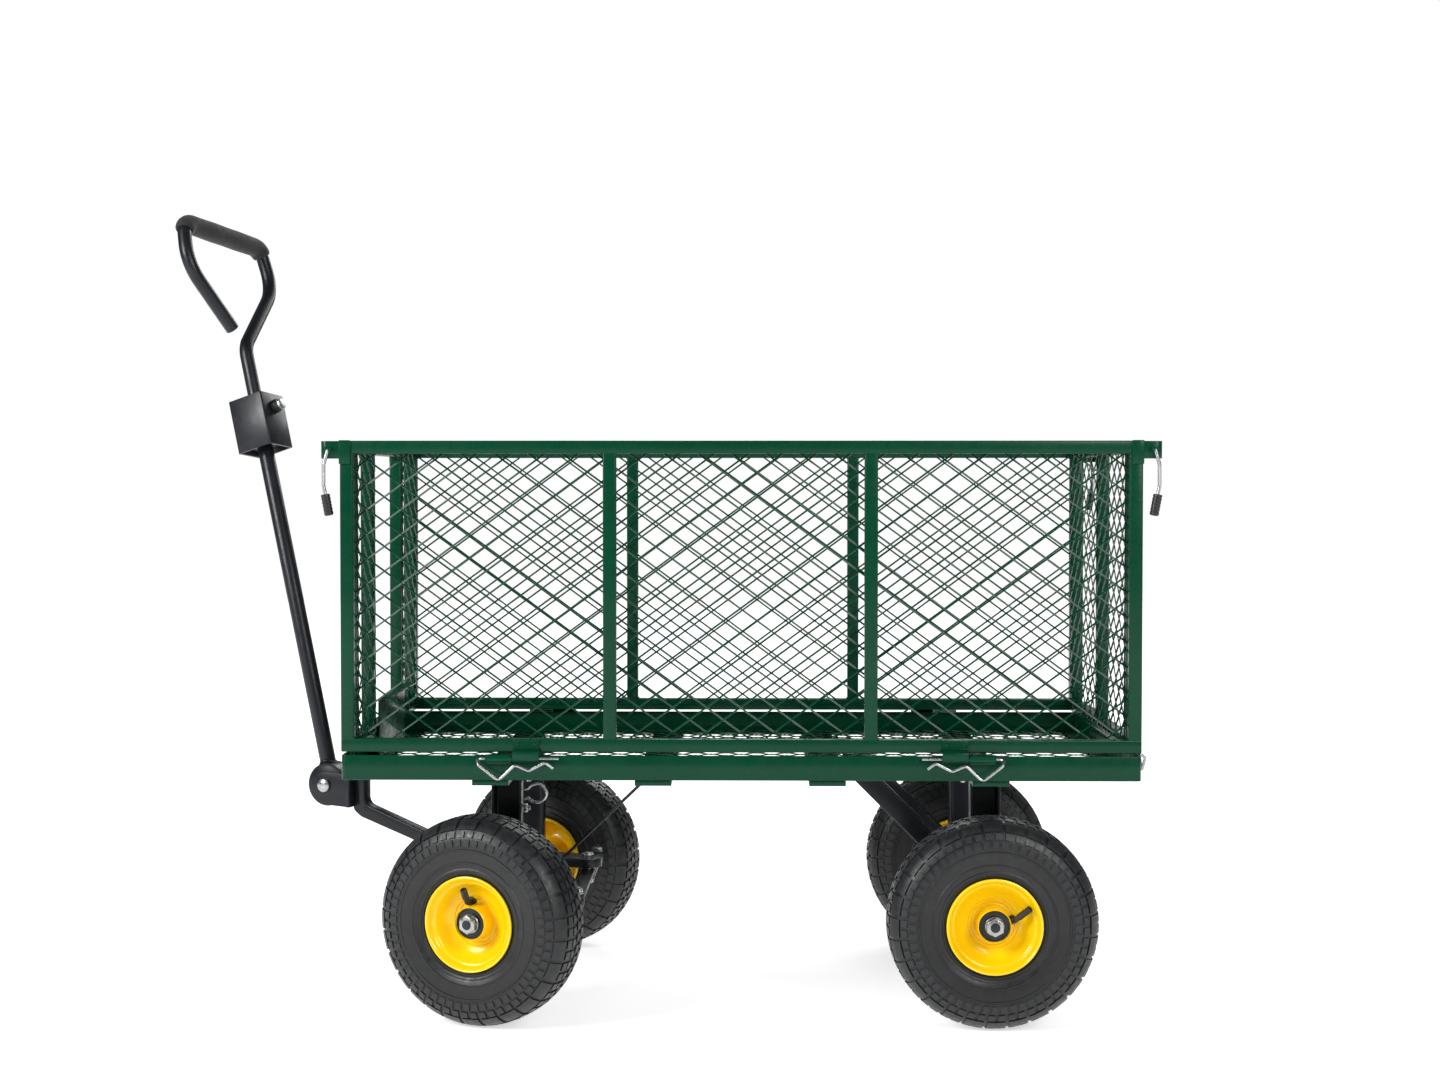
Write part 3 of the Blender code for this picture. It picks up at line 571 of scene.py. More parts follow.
def plate(outline: Sequence[Point], low: float, high: float, edge: float = 0.0006,
          segments: int = 2) -> bpy.types.Object:
    """An outline in XZ, filled and extruded along Y.

    Args:
        outline: Points of (x, z).
        low: Its face at -Y.
        high: Its face at +Y.
        edge: The round of its edges.
        segments: The round's facets.

    Returns:
        The plate.
    """
    obj = line([(x, low, z) for x, z in outline])
    with editing(obj):
        bpy.ops.mesh.select_all(action="SELECT")
        bpy.ops.mesh.edge_face_add()
        bpy.ops.mesh.select_all(action="SELECT")
        bpy.ops.mesh.extrude_region_move(TRANSFORM_OT_translate={"value": (0, high - low, 0)})
        mended()
    return rounded_off(obj, edge, segments, 35)


def folded(section: Sequence[Point], rise: Point, thickness: float, edge: float = 0.0005) -> bpy.types.Object:
    """A folded sheet: an open section swept straight and then thickened on both sides.

    Args:
        section: The points of the sheet's middle line.
        rise: The way and length that it is swept.
        thickness: The sheet's thickness.
        edge: The round of its cut edges.

    Returns:
        The folded piece.
    """
    obj = line(section)
    with editing(obj):
        bpy.ops.mesh.select_all(action="SELECT")
        bpy.ops.mesh.extrude_region_move(TRANSFORM_OT_translate={"value": rise})
        mended()
    modified(obj, "SOLIDIFY", thickness=thickness, offset=0.0, use_even_offset=True)
    return rounded_off(obj, edge, 2, 50)


def corners(points: Sequence[Point], radius: float | Sequence[float], steps: int = 5) -> list[Vector]:
    """A path through corners, each turned with an arc.

    Args:
        points: The path's ends and corners.
        radius: The arcs' radius, or one for each corner.
        steps: The facets of each arc.

    Returns:
        The points of the rounded path.
    """
    points = [Vector(point) for point in points]
    radii = [radius] * len(points) if isinstance(radius, float) else [0.0, *radius]
    path = [points[0]]
    for before, corner, after, r in zip(points, points[1:], points[2:], radii[1:]):
        back = (before - corner).normalized()
        on = (after - corner).normalized()
        half = back.angle(on) / 2
        centre = corner + (back + on).normalized() * r / math.sin(half)
        start = (corner + back * r / math.tan(half) - centre).normalized()
        end = (corner + on * r / math.tan(half) - centre).normalized()
        path += [centre + start.slerp(end, step / steps) * r for step in range(steps + 1)]
    return path + [points[-1]]


def tube(points: Sequence[Point], radius: float, resolution: int = 6,
         swell: Callable[[float], float] = lambda share: 1.0) -> bpy.types.Object:
    """A round rod, wire or tube along a path, made a mesh.

    Args:
        points: The path.
        radius: The rod's radius.
        resolution: How round it is.
        swell: The radius's factor at each share of the path.

    Returns:
        The rod.
    """
    curve = bpy.data.curves.new("rod", "CURVE")
    curve.dimensions = "3D"
    curve.bevel_depth = radius
    curve.bevel_resolution = resolution
    curve.use_fill_caps = True
    spline = curve.splines.new("POLY")
    spline.points.add(len(points) - 1)
    for index, (point, place) in enumerate(zip(spline.points, points)):
        point.co = (*place, 1.0)
        point.radius = swell(index / (len(points) - 1))
    obj = bpy.data.objects.new("rod", curve)
    bpy.context.scene.collection.objects.link(obj)
    make_active(obj)
    bpy.ops.object.convert(target="MESH")
    with editing(obj):
        mended()
    make_active(obj)
    bpy.ops.object.shade_smooth_by_angle(angle=math.radians(50))
    return obj


def cylinder(start: Point, end: Point, radius: float, edge: float = 0.0006,
             sides: int = 40) -> bpy.types.Object:
    """A round bar with broken edges.

    Args:
        start: The middle of one end.
        end: The middle of the other.
        radius: The bar's radius.
        edge: The round of its ends.
        sides: Its facets.

    Returns:
        The bar.
    """
    along = Vector(end) - Vector(start)
    bpy.ops.object.select_all(action="DESELECT")
    bpy.ops.mesh.primitive_cylinder_add(vertices=sides, radius=radius, depth=along.length)
    turn = along.to_track_quat("Z", "Y").to_matrix().to_4x4()
    place = Matrix.Translation((Vector(start) + Vector(end)) / 2) @ turn
    return rounded_off(settle(bpy.context.object, place), edge, 2, 40)


def copied(obj: bpy.types.Object, matrix: Matrix = IDENTITY) -> bpy.types.Object:
    """A copy with its own mesh, moved by a matrix. A mirroring matrix leaves its faces pointing out."""
    made = obj.copy()
    made.data = obj.data.copy()
    bpy.context.scene.collection.objects.link(made)
    settle(made, matrix)
    if matrix.determinant() < 0:
        with editing(made):
            bpy.ops.mesh.select_all(action="SELECT")
            bpy.ops.mesh.flip_normals()
    return made


def joined(pieces: Sequence[bpy.types.Object]) -> bpy.types.Object:
    """Joins shapes into one object."""
    make_active(pieces[0])
    for obj in pieces[1:]:
        obj.select_set(True)
    bpy.ops.object.join()
    return bpy.context.object


def deliver(name: str, pieces: bpy.types.Object | Sequence[bpy.types.Object], body: str, finish: Finish,
            replaced: Sequence[str] = (), matrix: Matrix = IDENTITY,
            material: bpy.types.Material | None = None) -> bpy.types.Object:
    """Names a finished piece, dresses it and fixes it to its body.

    Args:
        name: The piece's name.
        pieces: Its shape, or several that are joined.
        body: The frame body that it rides on.
        finish: Its finish.
        replaced: The frame nodes that it stands for.
        matrix: Where it goes.
        material: A material other than the finish's own.

    Returns:
        The piece.
    """
    obj = pieces if isinstance(pieces, bpy.types.Object) else joined(list(pieces))
    settle(obj, matrix)
    obj.name = name
    obj.data.name = name
    obj.data.materials.clear()
    obj.data.materials.append(material or MATERIALS[finish])
    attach(obj, body)
    if replaced:
        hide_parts(*replaced)
    LOG.info("%s rides on %s, %d faces", name, body, len(obj.data.polygons))
    return obj


def weld_bead(start: Point, end: Point, radius: float = 0.0016, pitch: float = 0.0024) -> bpy.types.Object:
    """A rippled weld bead between two points."""
    start, end = Vector(start), Vector(end)
    count = max(6, round((end - start).length / pitch) * 2)
    path = [start.lerp(end, step / count) for step in range(count + 1)]
    return tube(path, radius, 2, lambda share: 0.78 + 0.22 * math.cos(math.pi * round(share * count)))


@dataclass(frozen=True)
class HexFastener:
    """A hexagon bolt head or nut, with a washer under it and a threaded end through it."""

    across: float
    height: float
    washer: float = 0.0
    stud: float = 0.0
    stud_radius: float = 0.0

    def build(self, place: Point, direction: Point) -> bpy.types.Object:
        """Makes the fastener.

        Args:
            place: The point that it is tightened against.
            direction: The way it stands out.

        Returns:
            The fastener.
        """
        bpy.ops.object.select_all(action="DESELECT")
        bpy.ops.mesh.primitive_cylinder_add(vertices=6, radius=self.across / math.sqrt(3), depth=self.height)
        head = bpy.context.object
        lift = 0.0012 if self.washer else 0.0
        settle(head, Matrix.Translation((0, 0, self.height / 2 + lift)))
        with editing(head):
            pick(head, "edges", lambda edge: all(v.co.z > self.height / 2 + lift for v in edge.verts))
            bpy.ops.mesh.bevel(offset=self.across * 0.07, segments=2, affect="EDGES")
        shapes = [rounded_off(head, self.across * 0.02, 1, 50)]
        if self.washer:
            ring = [(0.0, self.across * 0.25), (0.0, self.washer), (0.0009, self.washer),
                    (0.0012, self.washer * 0.96),
                    (0.0012, self.across * 0.25)]
            shapes.append(settle(lathe(ring, 32), Matrix.Rotation(math.pi / 2, 4, "X")))
        if self.stud:
            top = lift + self.height
            threads = 5
            step = self.stud / threads
            profile = [(top - 0.001, 0.0), (top - 0.001, self.stud_radius)]
            for turn in range(threads):
                profile += [(top + step * turn + step * 0.25, self.stud_radius),
                            (top + step * turn + step * 0.6, self.stud_radius * 0.88)]
            profile += [(top + self.stud, self.stud_radius * 0.8), (top + self.stud, 0.0)]
            shapes.append(settle(lathe(profile, 20, closed=False, angle=20),
                                 Matrix.Rotation(math.pi / 2, 4, "X")))
        turn = Vector(direction).to_track_quat("Z", "Y").to_matrix().to_4x4()
        return settle(joined(shapes), Matrix.Translation(Vector(place)) @ turn)


# ---------------------------------------------------------------- basket


@dataclass(frozen=True)
class MeshSheet:
    """Expanded steel mesh: slit and stretched sheet, whose strands lie aslant between rows of diamonds."""

    width: float
    height: float
    diamond_w: float = 0.0410
    diamond_h: float = 0.0295
    strand: float = 0.0021
    thickness: float = 0.0011
    slant: float = 0.0009

    def build(self) -> bpy.types.Object:
        """Makes the sheet, upright in XZ about its middle.

        Returns:
            The sheet.
        """
        columns = round(self.width / self.diamond_w)
        rows = round(self.height / self.diamond_h)
        side = columns + rows + 2
        bpy.ops.object.select_all(action="DESELECT")
        bpy.ops.mesh.primitive_grid_add(x_subdivisions=side, y_subdivisions=side, size=side / math.sqrt(2))
        sheet = bpy.context.object
        stretch = Matrix.Diagonal((self.width / columns, self.height / rows, 1, 1))
        for step in (Matrix.Rotation(math.pi / 4, 4, "Z"), stretch, Matrix.Rotation(math.pi / 2, 4, "X")):
            settle(sheet, step)
        with editing(sheet):
            for normal, reach in (((1, 0, 0), self.width / 2), ((0, 0, 1), self.height / 2)):
                for way in (-1, 1):
                    bpy.ops.mesh.select_all(action="SELECT")
                    bpy.ops.mesh.bisect(plane_co=Vector(normal) * way * reach, plane_no=Vector(normal) * way,
                                        clear_outer=True)
            bpy.ops.mesh.select_all(action="SELECT")
            bpy.ops.mesh.remove_doubles(threshold=0.0001)
            bpy.ops.mesh.select_mode(type="FACE")
            bpy.ops.mesh.select_all(action="SELECT")
            bpy.ops.mesh.inset(thickness=self.strand / 2, use_individual=True, use_boundary=True)
            cage = bmesh.from_edit_mesh(sheet.data)
            reach = self.height / rows / 2
            for face in [face for face in cage.faces if face.select]:
                middle = face.calc_center_median()
                for vertex in face.verts:
                    vertex.co.y += self.slant * max(-1.0, min(1.0, (middle.z - vertex.co.z) / reach))
            bmesh.update_edit_mesh(sheet.data)
            bpy.ops.mesh.delete(type="ONLY_FACE")
            mended()
        modified(sheet, "SOLIDIFY", thickness=self.thickness, offset=0.0)
        make_active(sheet)
        bpy.ops.object.shade_smooth_by_angle(angle=math.radians(25))
        return sheet


@dataclass
class PanelFrame:
    """A panel of square tube, welded at its corners and round its middle posts."""

    half: float
    posts: tuple[float, ...]
    face: float
    tube: float = 0.016
    low: float = 0.3400
    top: float = 0.7216
    round: float = 0.0016

    def build(self) -> list[bpy.types.Object]:
        """Makes the tubes and the weld beads of a panel that stands at -Y.

        Returns:
            The shapes.
        """
        y = (self.face, self.face + self.tube)
        inner_low, inner_top = self.low + self.tube, self.top - self.tube
        shapes = [block((-self.half, self.half), y, z, self.round, 3)
                  for z in ((self.low, inner_low), (inner_top, self.top))]
        for x in (-self.half + self.tube / 2, self.half - self.tube / 2, *self.posts):
            shapes.append(block((x - self.tube / 2, x + self.tube / 2), (y[0] + 0.0002, y[1] - 0.0002),
                                (inner_low - 0.0015, inner_top + 0.0015), self.round, 3))
            shapes += self.beads(x, y, (inner_low, inner_top))
        return shapes

    def beads(self, x: float, y: Point, ends: Point) -> list[bpy.types.Object]:
        """The weld beads on both sides of a post, at its foot and its head."""
        shapes = []
        for side in (-1, 1):
            edge = x + side * self.tube / 2
            if abs(edge) < self.half - 0.001:
                shapes += [weld_bead((edge, y[0] + 0.001, z), (edge, y[1] - 0.001, z), 0.0014) for z in ends]
        return shapes


@dataclass
class HingeTab:
    """Half of a panel hinge: a rolled eye on a plate, with rivets where it lies on the panel."""

    low_x: float
    high_x: float
    face: float
    pin_out: float = 0.0060
    pin_z: float = 0.3330
    eye: float = 0.0052
    bore: float = 0.0026

    def eye_ring(self, low: float, high: float) -> bpy.types.Object:
        """The rolled eye along X, as a hollow barrel."""
        ring = lathe([(low, self.bore), (low, self.eye - 0.0004), (low + 0.0004, self.eye),
                      (high - 0.0004, self.eye), (high, self.eye - 0.0004), (high, self.bore)], 28)
        turn = Matrix.Rotation(-math.pi / 2, 4, "Z")
        return settle(ring, Matrix.Translation((0, -self.face - self.pin_out, self.pin_z)) @ turn)

    def lifted(self) -> list[bpy.types.Object]:
        """The panel's half: the plate rises from the eye and bends on to the bottom rail."""
        pin_y = -self.face - self.pin_out
        x = (self.low_x + 0.0006, self.high_x - 0.0006)
        section = corners([(x[0], pin_y - self.eye + 0.0008, self.pin_z),
                           (x[0], pin_y - self.eye + 0.0008, 0.3405),
                           (x[0], -self.face - 0.0010, 0.3440), (x[0], -self.face - 0.0010, 0.3545)], 0.0015,
                           3)
        shapes = [self.eye_ring(self.low_x, self.high_x), folded(section, (x[1] - x[0], 0, 0), 0.0018)]
        for share in (0.18, 0.82):
            at = (x[0] + (x[1] - x[0]) * share, -self.face - 0.0017, 0.3500)
            shapes.append(cylinder(at, (at[0], at[1] - 0.0012, at[2]), 0.0021, 0.0005, 20))
        shapes.append(weld_bead((x[0], -self.face - 0.001, 0.3547), (x[1], -self.face - 0.001, 0.3547),
                                0.0011))
        return shapes

    def fixed(self) -> list[bpy.types.Object]:
        """The deck's half: the eye on a block against the rail, with a weld along it."""
        pin_y = -self.face - self.pin_out
        x = (self.low_x + 0.0006, self.high_x - 0.0006)
        foot = block(x, (pin_y - 0.0030, -self.face + 0.0012), (self.pin_z - 0.0062, self.pin_z - 0.0036),
                     0.0006)
        bead = weld_bead((x[0], -self.face - 0.0006, self.pin_z - 0.0066),
                         (x[1], -self.face - 0.0006, self.pin_z - 0.0066), 0.0013)
        return [self.eye_ring(self.low_x, self.high_x), foot, bead]


@dataclass
class Basket:
    """The four mesh panels with their hinges, corner brackets and latch levers."""

    half_l: float = 0.490
    half_w: float = 0.255
    end_half: float = 0.2365
    post_x: float = 0.160
    front_post: float = 0.110
    tube: float = 0.016
    ear: float = 0.0235
    ear_h: float = 0.0185
    side_hinge: float = 0.2788
    rear_hinge: float = 0.1518
    knuckle: float = 0.0330
    low: float = 0.3400
    top: float = 0.7216

    def corner_bracket(self, end: int) -> list[bpy.types.Object]:
        """The folded bracket round a side panel's top corner, which carries the latch pin.

        Args:
            end: -1 at the front and 1 at the rear.

        Returns:
            The bracket's shapes.
        """
        face = -self.half_w
        sheet = 0.0022
        tip = end * (self.half_l + self.ear - sheet / 2)
        root = end * (self.half_l - 0.002)
        mid_y = face - 0.0004
        section = corners([(root, mid_y, 0), (tip, mid_y, 0), (tip, face + self.tube - 0.001, 0)], 0.0068, 6)
        section = [Vector((x, y, self.top - self.ear_h - 0.0035)) for x, y, _ in section]
        wrap = folded(section, (0, 0, self.ear_h + 0.0030), sheet)
        cap = block((root, tip - end * 0.0050), (mid_y, face + self.tube - 0.001),
                    (self.top - 0.0024, self.top - 0.0004), 0.0007)
        clamp = block((end * (self.half_l - 0.0132), end * (self.half_l + 0.0008)),
                      (face - 0.0018, face + 0.0010),
                      (self.top - 0.0285, self.top + 0.0006), 0.0008, 3)
        pin_x = end * (self.half_l + self.ear / 2 + 0.001)
        pin_z = self.top - self.ear_h / 2
        pin = cylinder((pin_x, face + 0.003, pin_z), (pin_x, face - 0.0072, pin_z), 0.0025, 0.0005, 24)
        head = cylinder((pin_x, face - 0.0066, pin_z), (pin_x, face - 0.0082, pin_z), 0.0042, 0.0007, 24)
        bead = weld_bead((end * (self.half_l - 0.0140), face, self.top - 0.026),
                         (end * (self.half_l - 0.0140), face, self.top - 0.003), 0.0012)
        return [wrap, cap, clamp, pin, head, bead]

    def side(self, name: str, matrix: Matrix) -> None:
        """Makes a side panel that stands at -Y, then moves it to its side.

        Args:
            name: "near" or "far".
            matrix: Where it goes from the deck's middle.
        """
        shapes = PanelFrame(self.half_l, (-self.post_x, self.post_x), -self.half_w).build()
        for end in (-1, 1):
            shapes += self.corner_bracket(end)
            low, high = sorted((end * (self.side_hinge - self.knuckle), end * self.side_hinge))
            shapes += HingeTab(low, high, self.half_w).lifted()
        deliver(f"{name}_side_frame", shapes, f"side_{name}", Finish.GREEN, [f"side_panel_{name}"], matrix)
        sheet = MeshSheet(2 * (self.half_l - self.tube) + 0.012, self.top - self.low - self.tube).build()
        lift = Matrix.Translation((0, -self.half_w + self.tube + 0.0011, (self.low + self.top) / 2))
        deliver(f"{name}_side_mesh", sheet, f"side_{name}", Finish.GREEN, [f"side_mesh_{name}"],
                matrix @ lift)

    def end_panel(self, name: str, body: str, turn: float, hinged: bool, node: str) -> None:
        """Makes an end panel.

        Args:
            name: The panel's name.
            body: The body that it rides on.
            turn: The angle that takes a panel at -Y to its end.
            hinged: Whether it has hinges. The other has two pegs that stand in a socket.
            node: The frame node of its frame.
        """
        face = -self.half_l
        place = DECK @ Matrix.Rotation(turn, 4, "Z")
        shapes = PanelFrame(self.end_half, (0.0,) if hinged else (-self.front_post, self.front_post),
                            face).build()
        for end in (-1, 1):
            if hinged:
                low, high = sorted((end * (self.rear_hinge - self.knuckle), end * self.rear_hinge))
                shapes += HingeTab(low, high, self.half_l).lifted()
            else:
                shapes.append(block((end * 0.055 - 0.006, end * 0.055 + 0.006),
                                    (face + 0.0042, face + 0.0138),
                                    (0.3140, self.low + 0.004), 0.0012))
            eye_z = self.top - 0.0095
            shapes.append(block((end * (self.end_half - 0.0012), end * (self.end_half + 0.0016)),
                                (face + 0.001, face + self.tube - 0.001), (eye_z - 0.008, eye_z + 0.007),
                                0.0006))
        deliver(f"{name}_frame", shapes, body, Finish.GREEN, [node], place)

    def end_mesh(self, name: str, body: str, turn: float, span: Point, node: str) -> None:
        """Makes a mesh sheet behind an end panel.

        Args:
            name: The sheet's name.
            body: The body that it rides on.
            turn: The angle that takes a panel at -Y to its end.
            span: Where the sheet starts and ends along the panel.
            node: The frame node that it dresses.
        """
        sheet = MeshSheet(span[1] - span[0], self.top - self.low - self.tube).build()
        lift = Matrix.Translation((sum(span) / 2, -self.half_l + self.tube + 0.0011,
                                   (self.low + self.top) / 2))
        deliver(name, sheet, body, Finish.GREEN, [node], DECK @ Matrix.Rotation(turn, 4, "Z") @ lift)

    def latch(self, name: str, end: int, matrix: Matrix) -> None:
        """Makes the latch lever at one end of the side panel at -Y: a bent wire with a moulded sleeve.

        Args:
            name: The latch's name, such as near_front.
            end: -1 at the front and 1 at the rear.
            matrix: Where its side is.
        """
        bend = corners([(0, 0.0040, 0), (0, -0.0032, 0), (-0.0056, -0.0032, -0.0200), (-0.0064, 0, -0.046),
                        (-0.0036, 0, -0.0595)], (0.0024, 0.010, 0.010), 6)
        wire = tube(bend, 0.0022, 5)
        foot, tip = Vector((-0.0044, 0, -0.0563)), Vector((0.0004, 0, -0.0823))
        length = (tip - foot).length
        profile = [(0.0, 0.0), (0.0, 0.0047), (0.0008, 0.0054)]
        for ring in range(5):
            start = 0.003 + ring * 0.0042
            profile += [(start, 0.0056), (start + 0.0004, 0.0052), (start + 0.0014, 0.0052),
                        (start + 0.0018, 0.0056)]
        profile += [(length - 0.0016, 0.0056), (length - 0.0004, 0.0046), (length, 0.0030), (length, 0.0)]
        aim = (tip - foot).to_track_quat("Y", "Z").to_matrix().to_4x4()
        sleeve = settle(lathe(profile, 32, closed=False), Matrix.Translation(foot) @ aim)
        flip = IDENTITY if end < 0 else Matrix.Scale(-1, 4, (1, 0, 0))
        pin = Matrix.Translation((end * (self.half_l + self.ear / 2 + 0.001), -self.half_w - 0.0030,
                                  self.top - self.ear_h / 2))
        for shape, part, finish in ((wire, "lever", Finish.ZINC), (sleeve, "grip", Finish.PLASTIC)):
            piece = copied(shape, flip)
            bpy.data.objects.remove(shape)
            deliver(f"latch_{part}_of_{name}", piece, f"latch_{name}", finish, [f"latch_{part}_{name}"],
                    matrix @ pin)

    def build(self) -> None:
        """Makes the four panels and their latches."""
        for name, matrix in (("near", DECK), ("far", DECK @ HALF_TURN)):
            self.side(name, matrix)
            for end in (-1, 1):
                place = "front" if (end < 0) == (name == "near") else "rear"
                self.latch(f"{name}_{place}", end, matrix)
        reach = self.end_half - self.tube / 2
        self.end_panel("tailgate", "tailgate_panel", math.pi / 2, True, "tailgate")
        self.end_mesh("tailgate_mesh", "tailgate_panel", math.pi / 2, (-reach, reach), "tailgate_mesh")
        self.end_panel("front_gate", "front_gate", -math.pi / 2, False, "front_panel")
        for name, span in (("near", (self.front_post, reach)), ("far", (-reach, -self.front_post))):
            self.end_mesh(f"front_gate_mesh_{name}", "front_gate", -math.pi / 2, span, f"front_mesh_{name}")


@dataclass
class Deck:
    """The folded deck tray with its cross-members, hinge lugs, hairpins, floor mesh and socket plate."""

    half_l: float = 0.490
    half_w: float = 0.255
    low: float = 0.3055
    top: float = 0.3360
    sheet: float = 0.0025
    flange: float = 0.030
    members: tuple[float, ...] = (-0.307, -0.107, 0.107, 0.307)
    member_half: float = 0.0225
    member_low: float = 0.2985
    side_hinge: float = 0.2788
    rear_hinge: float = 0.1518
    knuckle: float = 0.0330
    pin_out: float = 0.0060
    pin_z: float = 0.3330
    pin_r: float = 0.0020

    def tray(self) -> list[bpy.types.Object]:
        """The tray's folded wall, and the flange that turns in along its foot."""
        x, y = self.half_l - self.sheet / 2, self.half_w - self.sheet / 2
        ring = [(x, 0, self.low), (x, y, self.low), (-x, y, self.low), (-x, -y, self.low), (x, -y, self.low),
                (x, 0, self.low)]
        shapes = [folded(corners(ring, 0.0050, 6), (0, 0, self.top - self.low), self.sheet, 0.0009)]
        low, high = self.low + 0.0003, self.low + self.sheet
        for side in (-1, 1):
            across = sorted((side * y, side * (self.half_w - self.flange)))
            along = sorted((side * x, side * (self.half_l - self.flange)))
            shapes.append(block((-x, x), across, (low, high), 0.0006))
            shapes.append(block(along, (-y, y), (low + 0.0002, high + 0.0002), 0.0006))
        return shapes

    def member(self, x: float) -> list[bpy.types.Object]:
        """A cross-member: a shallow channel under the tray, open below, with weld beads at its ends."""
        half, low, high = self.member_half, self.member_low, self.low + self.sheet - 0.0012
        reach = self.half_w - 0.0030
        section = corners([(x - half + 0.001, -reach, low), (x - half + 0.001, -reach, high),
                           (x + half - 0.001, -reach, high), (x + half - 0.001, -reach, low)], 0.0022, 4)
        shapes = [folded(section, (0, 2 * reach, 0), 0.0020)]
        for side in (-1, 1):
            shapes.append(block((x - half + 0.0006, x + half - 0.0006),
                                sorted((side * reach, side * (reach - 0.002))),
                                (low, high), 0.0006))
            shapes.append(weld_bead((x - half + 0.003, side * (reach - 0.0005), low + 0.0045),
                                    (x + half - 0.003, side * (reach - 0.0005), low + 0.0045), 0.0014))
        return shapes

    def hairpin(self, centre: float, side: int, face: float) -> bpy.types.Object:
        """A spring clip whose straight leg is the hinge pin.

        Args:
            centre: Where the hinge's middle is along the edge.
            side: -1 where its bend is at the -X end.
            face: The edge's distance from the deck's middle.

        Returns:
            The clip.
        """
        pin_y = -face - self.pin_out
        front = pin_y - 0.0095
        reach = self.knuckle + 0.004
        path = [(-reach - 0.020, pin_y, 0), (reach + 0.001, pin_y, 0), (reach + 0.006, pin_y - 0.003, -0.001),
                (reach + 0.003, front, -0.007), (0.016, front, -0.026), (-0.004, front, -0.0065),
                (-0.021, front, -0.014), (-0.041, front, -0.0035), (-0.051, front, -0.011)]
        path = [Vector((centre + side * x, y, self.pin_z + z)) for x, y, z in path]
        bends = (0.0020, 0.0028, 0.0040, 0.0062, 0.0060, 0.0060, 0.0050)
        return tube(corners(path, bends, 6), self.pin_r, 5)

    def build(self) -> None:
        """Makes the tray, the floor, the hinges' fixed halves and pins, and the socket plate."""
        shapes = self.tray()
        for x in self.members:
            shapes += self.member(x)
        for end in (-1, 1):
            for turn in (0.0, math.pi):
                low, high = sorted((end * (self.side_hinge + 0.0004), end * (self.side_hinge + self.knuckle)))
                lug = joined(HingeTab(low, high, self.half_w).fixed())
                shapes.append(settle(lug, Matrix.Rotation(turn, 4, "Z")))
            low, high = sorted((end * (self.rear_hinge + 0.0004), end * (self.rear_hinge + self.knuckle)))
            lug = joined(HingeTab(low, high, self.half_l).fixed())
            shapes.append(settle(lug, Matrix.Rotation(math.pi / 2, 4, "Z")))
        deliver("deck_tray", shapes, "chassis", Finish.GREEN, ["deck_frame"], DECK)

        sheet = MeshSheet(2 * self.half_l - 0.052, 2 * self.half_w - 0.020).build()
        floor_z = self.low + self.sheet + 0.0012
        lay = Matrix.Translation((0, 0, floor_z)) @ Matrix.Rotation(-math.pi / 2, 4, "X")
        deliver("deck_floor", sheet, "chassis", Finish.GREEN, ["deck_floor_mesh"], DECK @ lay)

        x = -self.half_l + 0.01975
        section = corners([(x, -0.1, self.low + self.sheet + 0.0004), (x, -0.1, 0.3905),
                           (x + 0.0150, -0.1, 0.3905)],
                          0.0030, 4)
        deliver("front_socket", folded(section, (0, 0.2, 0), 0.0020), "chassis", Finish.GREEN,
                ["front_socket_plate"], DECK)

        for end, name in ((-1, "front"), (1, "rear")):
            for side, turn, way in (("near", 0.0, end), ("far", math.pi, -end)):
                deliver(f"hairpin_{side}_{name}", self.hairpin(way * self.side_hinge, way, self.half_w),
                        "chassis",
                        Finish.ZINC, [f"hinge_pin_{side}_{name}"], DECK @ Matrix.Rotation(turn, 4, "Z"))
        for end, name in ((-1, "near"), (1, "far")):
            deliver(f"hairpin_tailgate_{name}", self.hairpin(end * self.rear_hinge, end, self.half_l),
                    "chassis",
                    Finish.ZINC, [f"hinge_pin_rear_{name}"], DECK @ Matrix.Rotation(math.pi / 2, 4, "Z"))


# ---------------------------------------------------------------- wheels


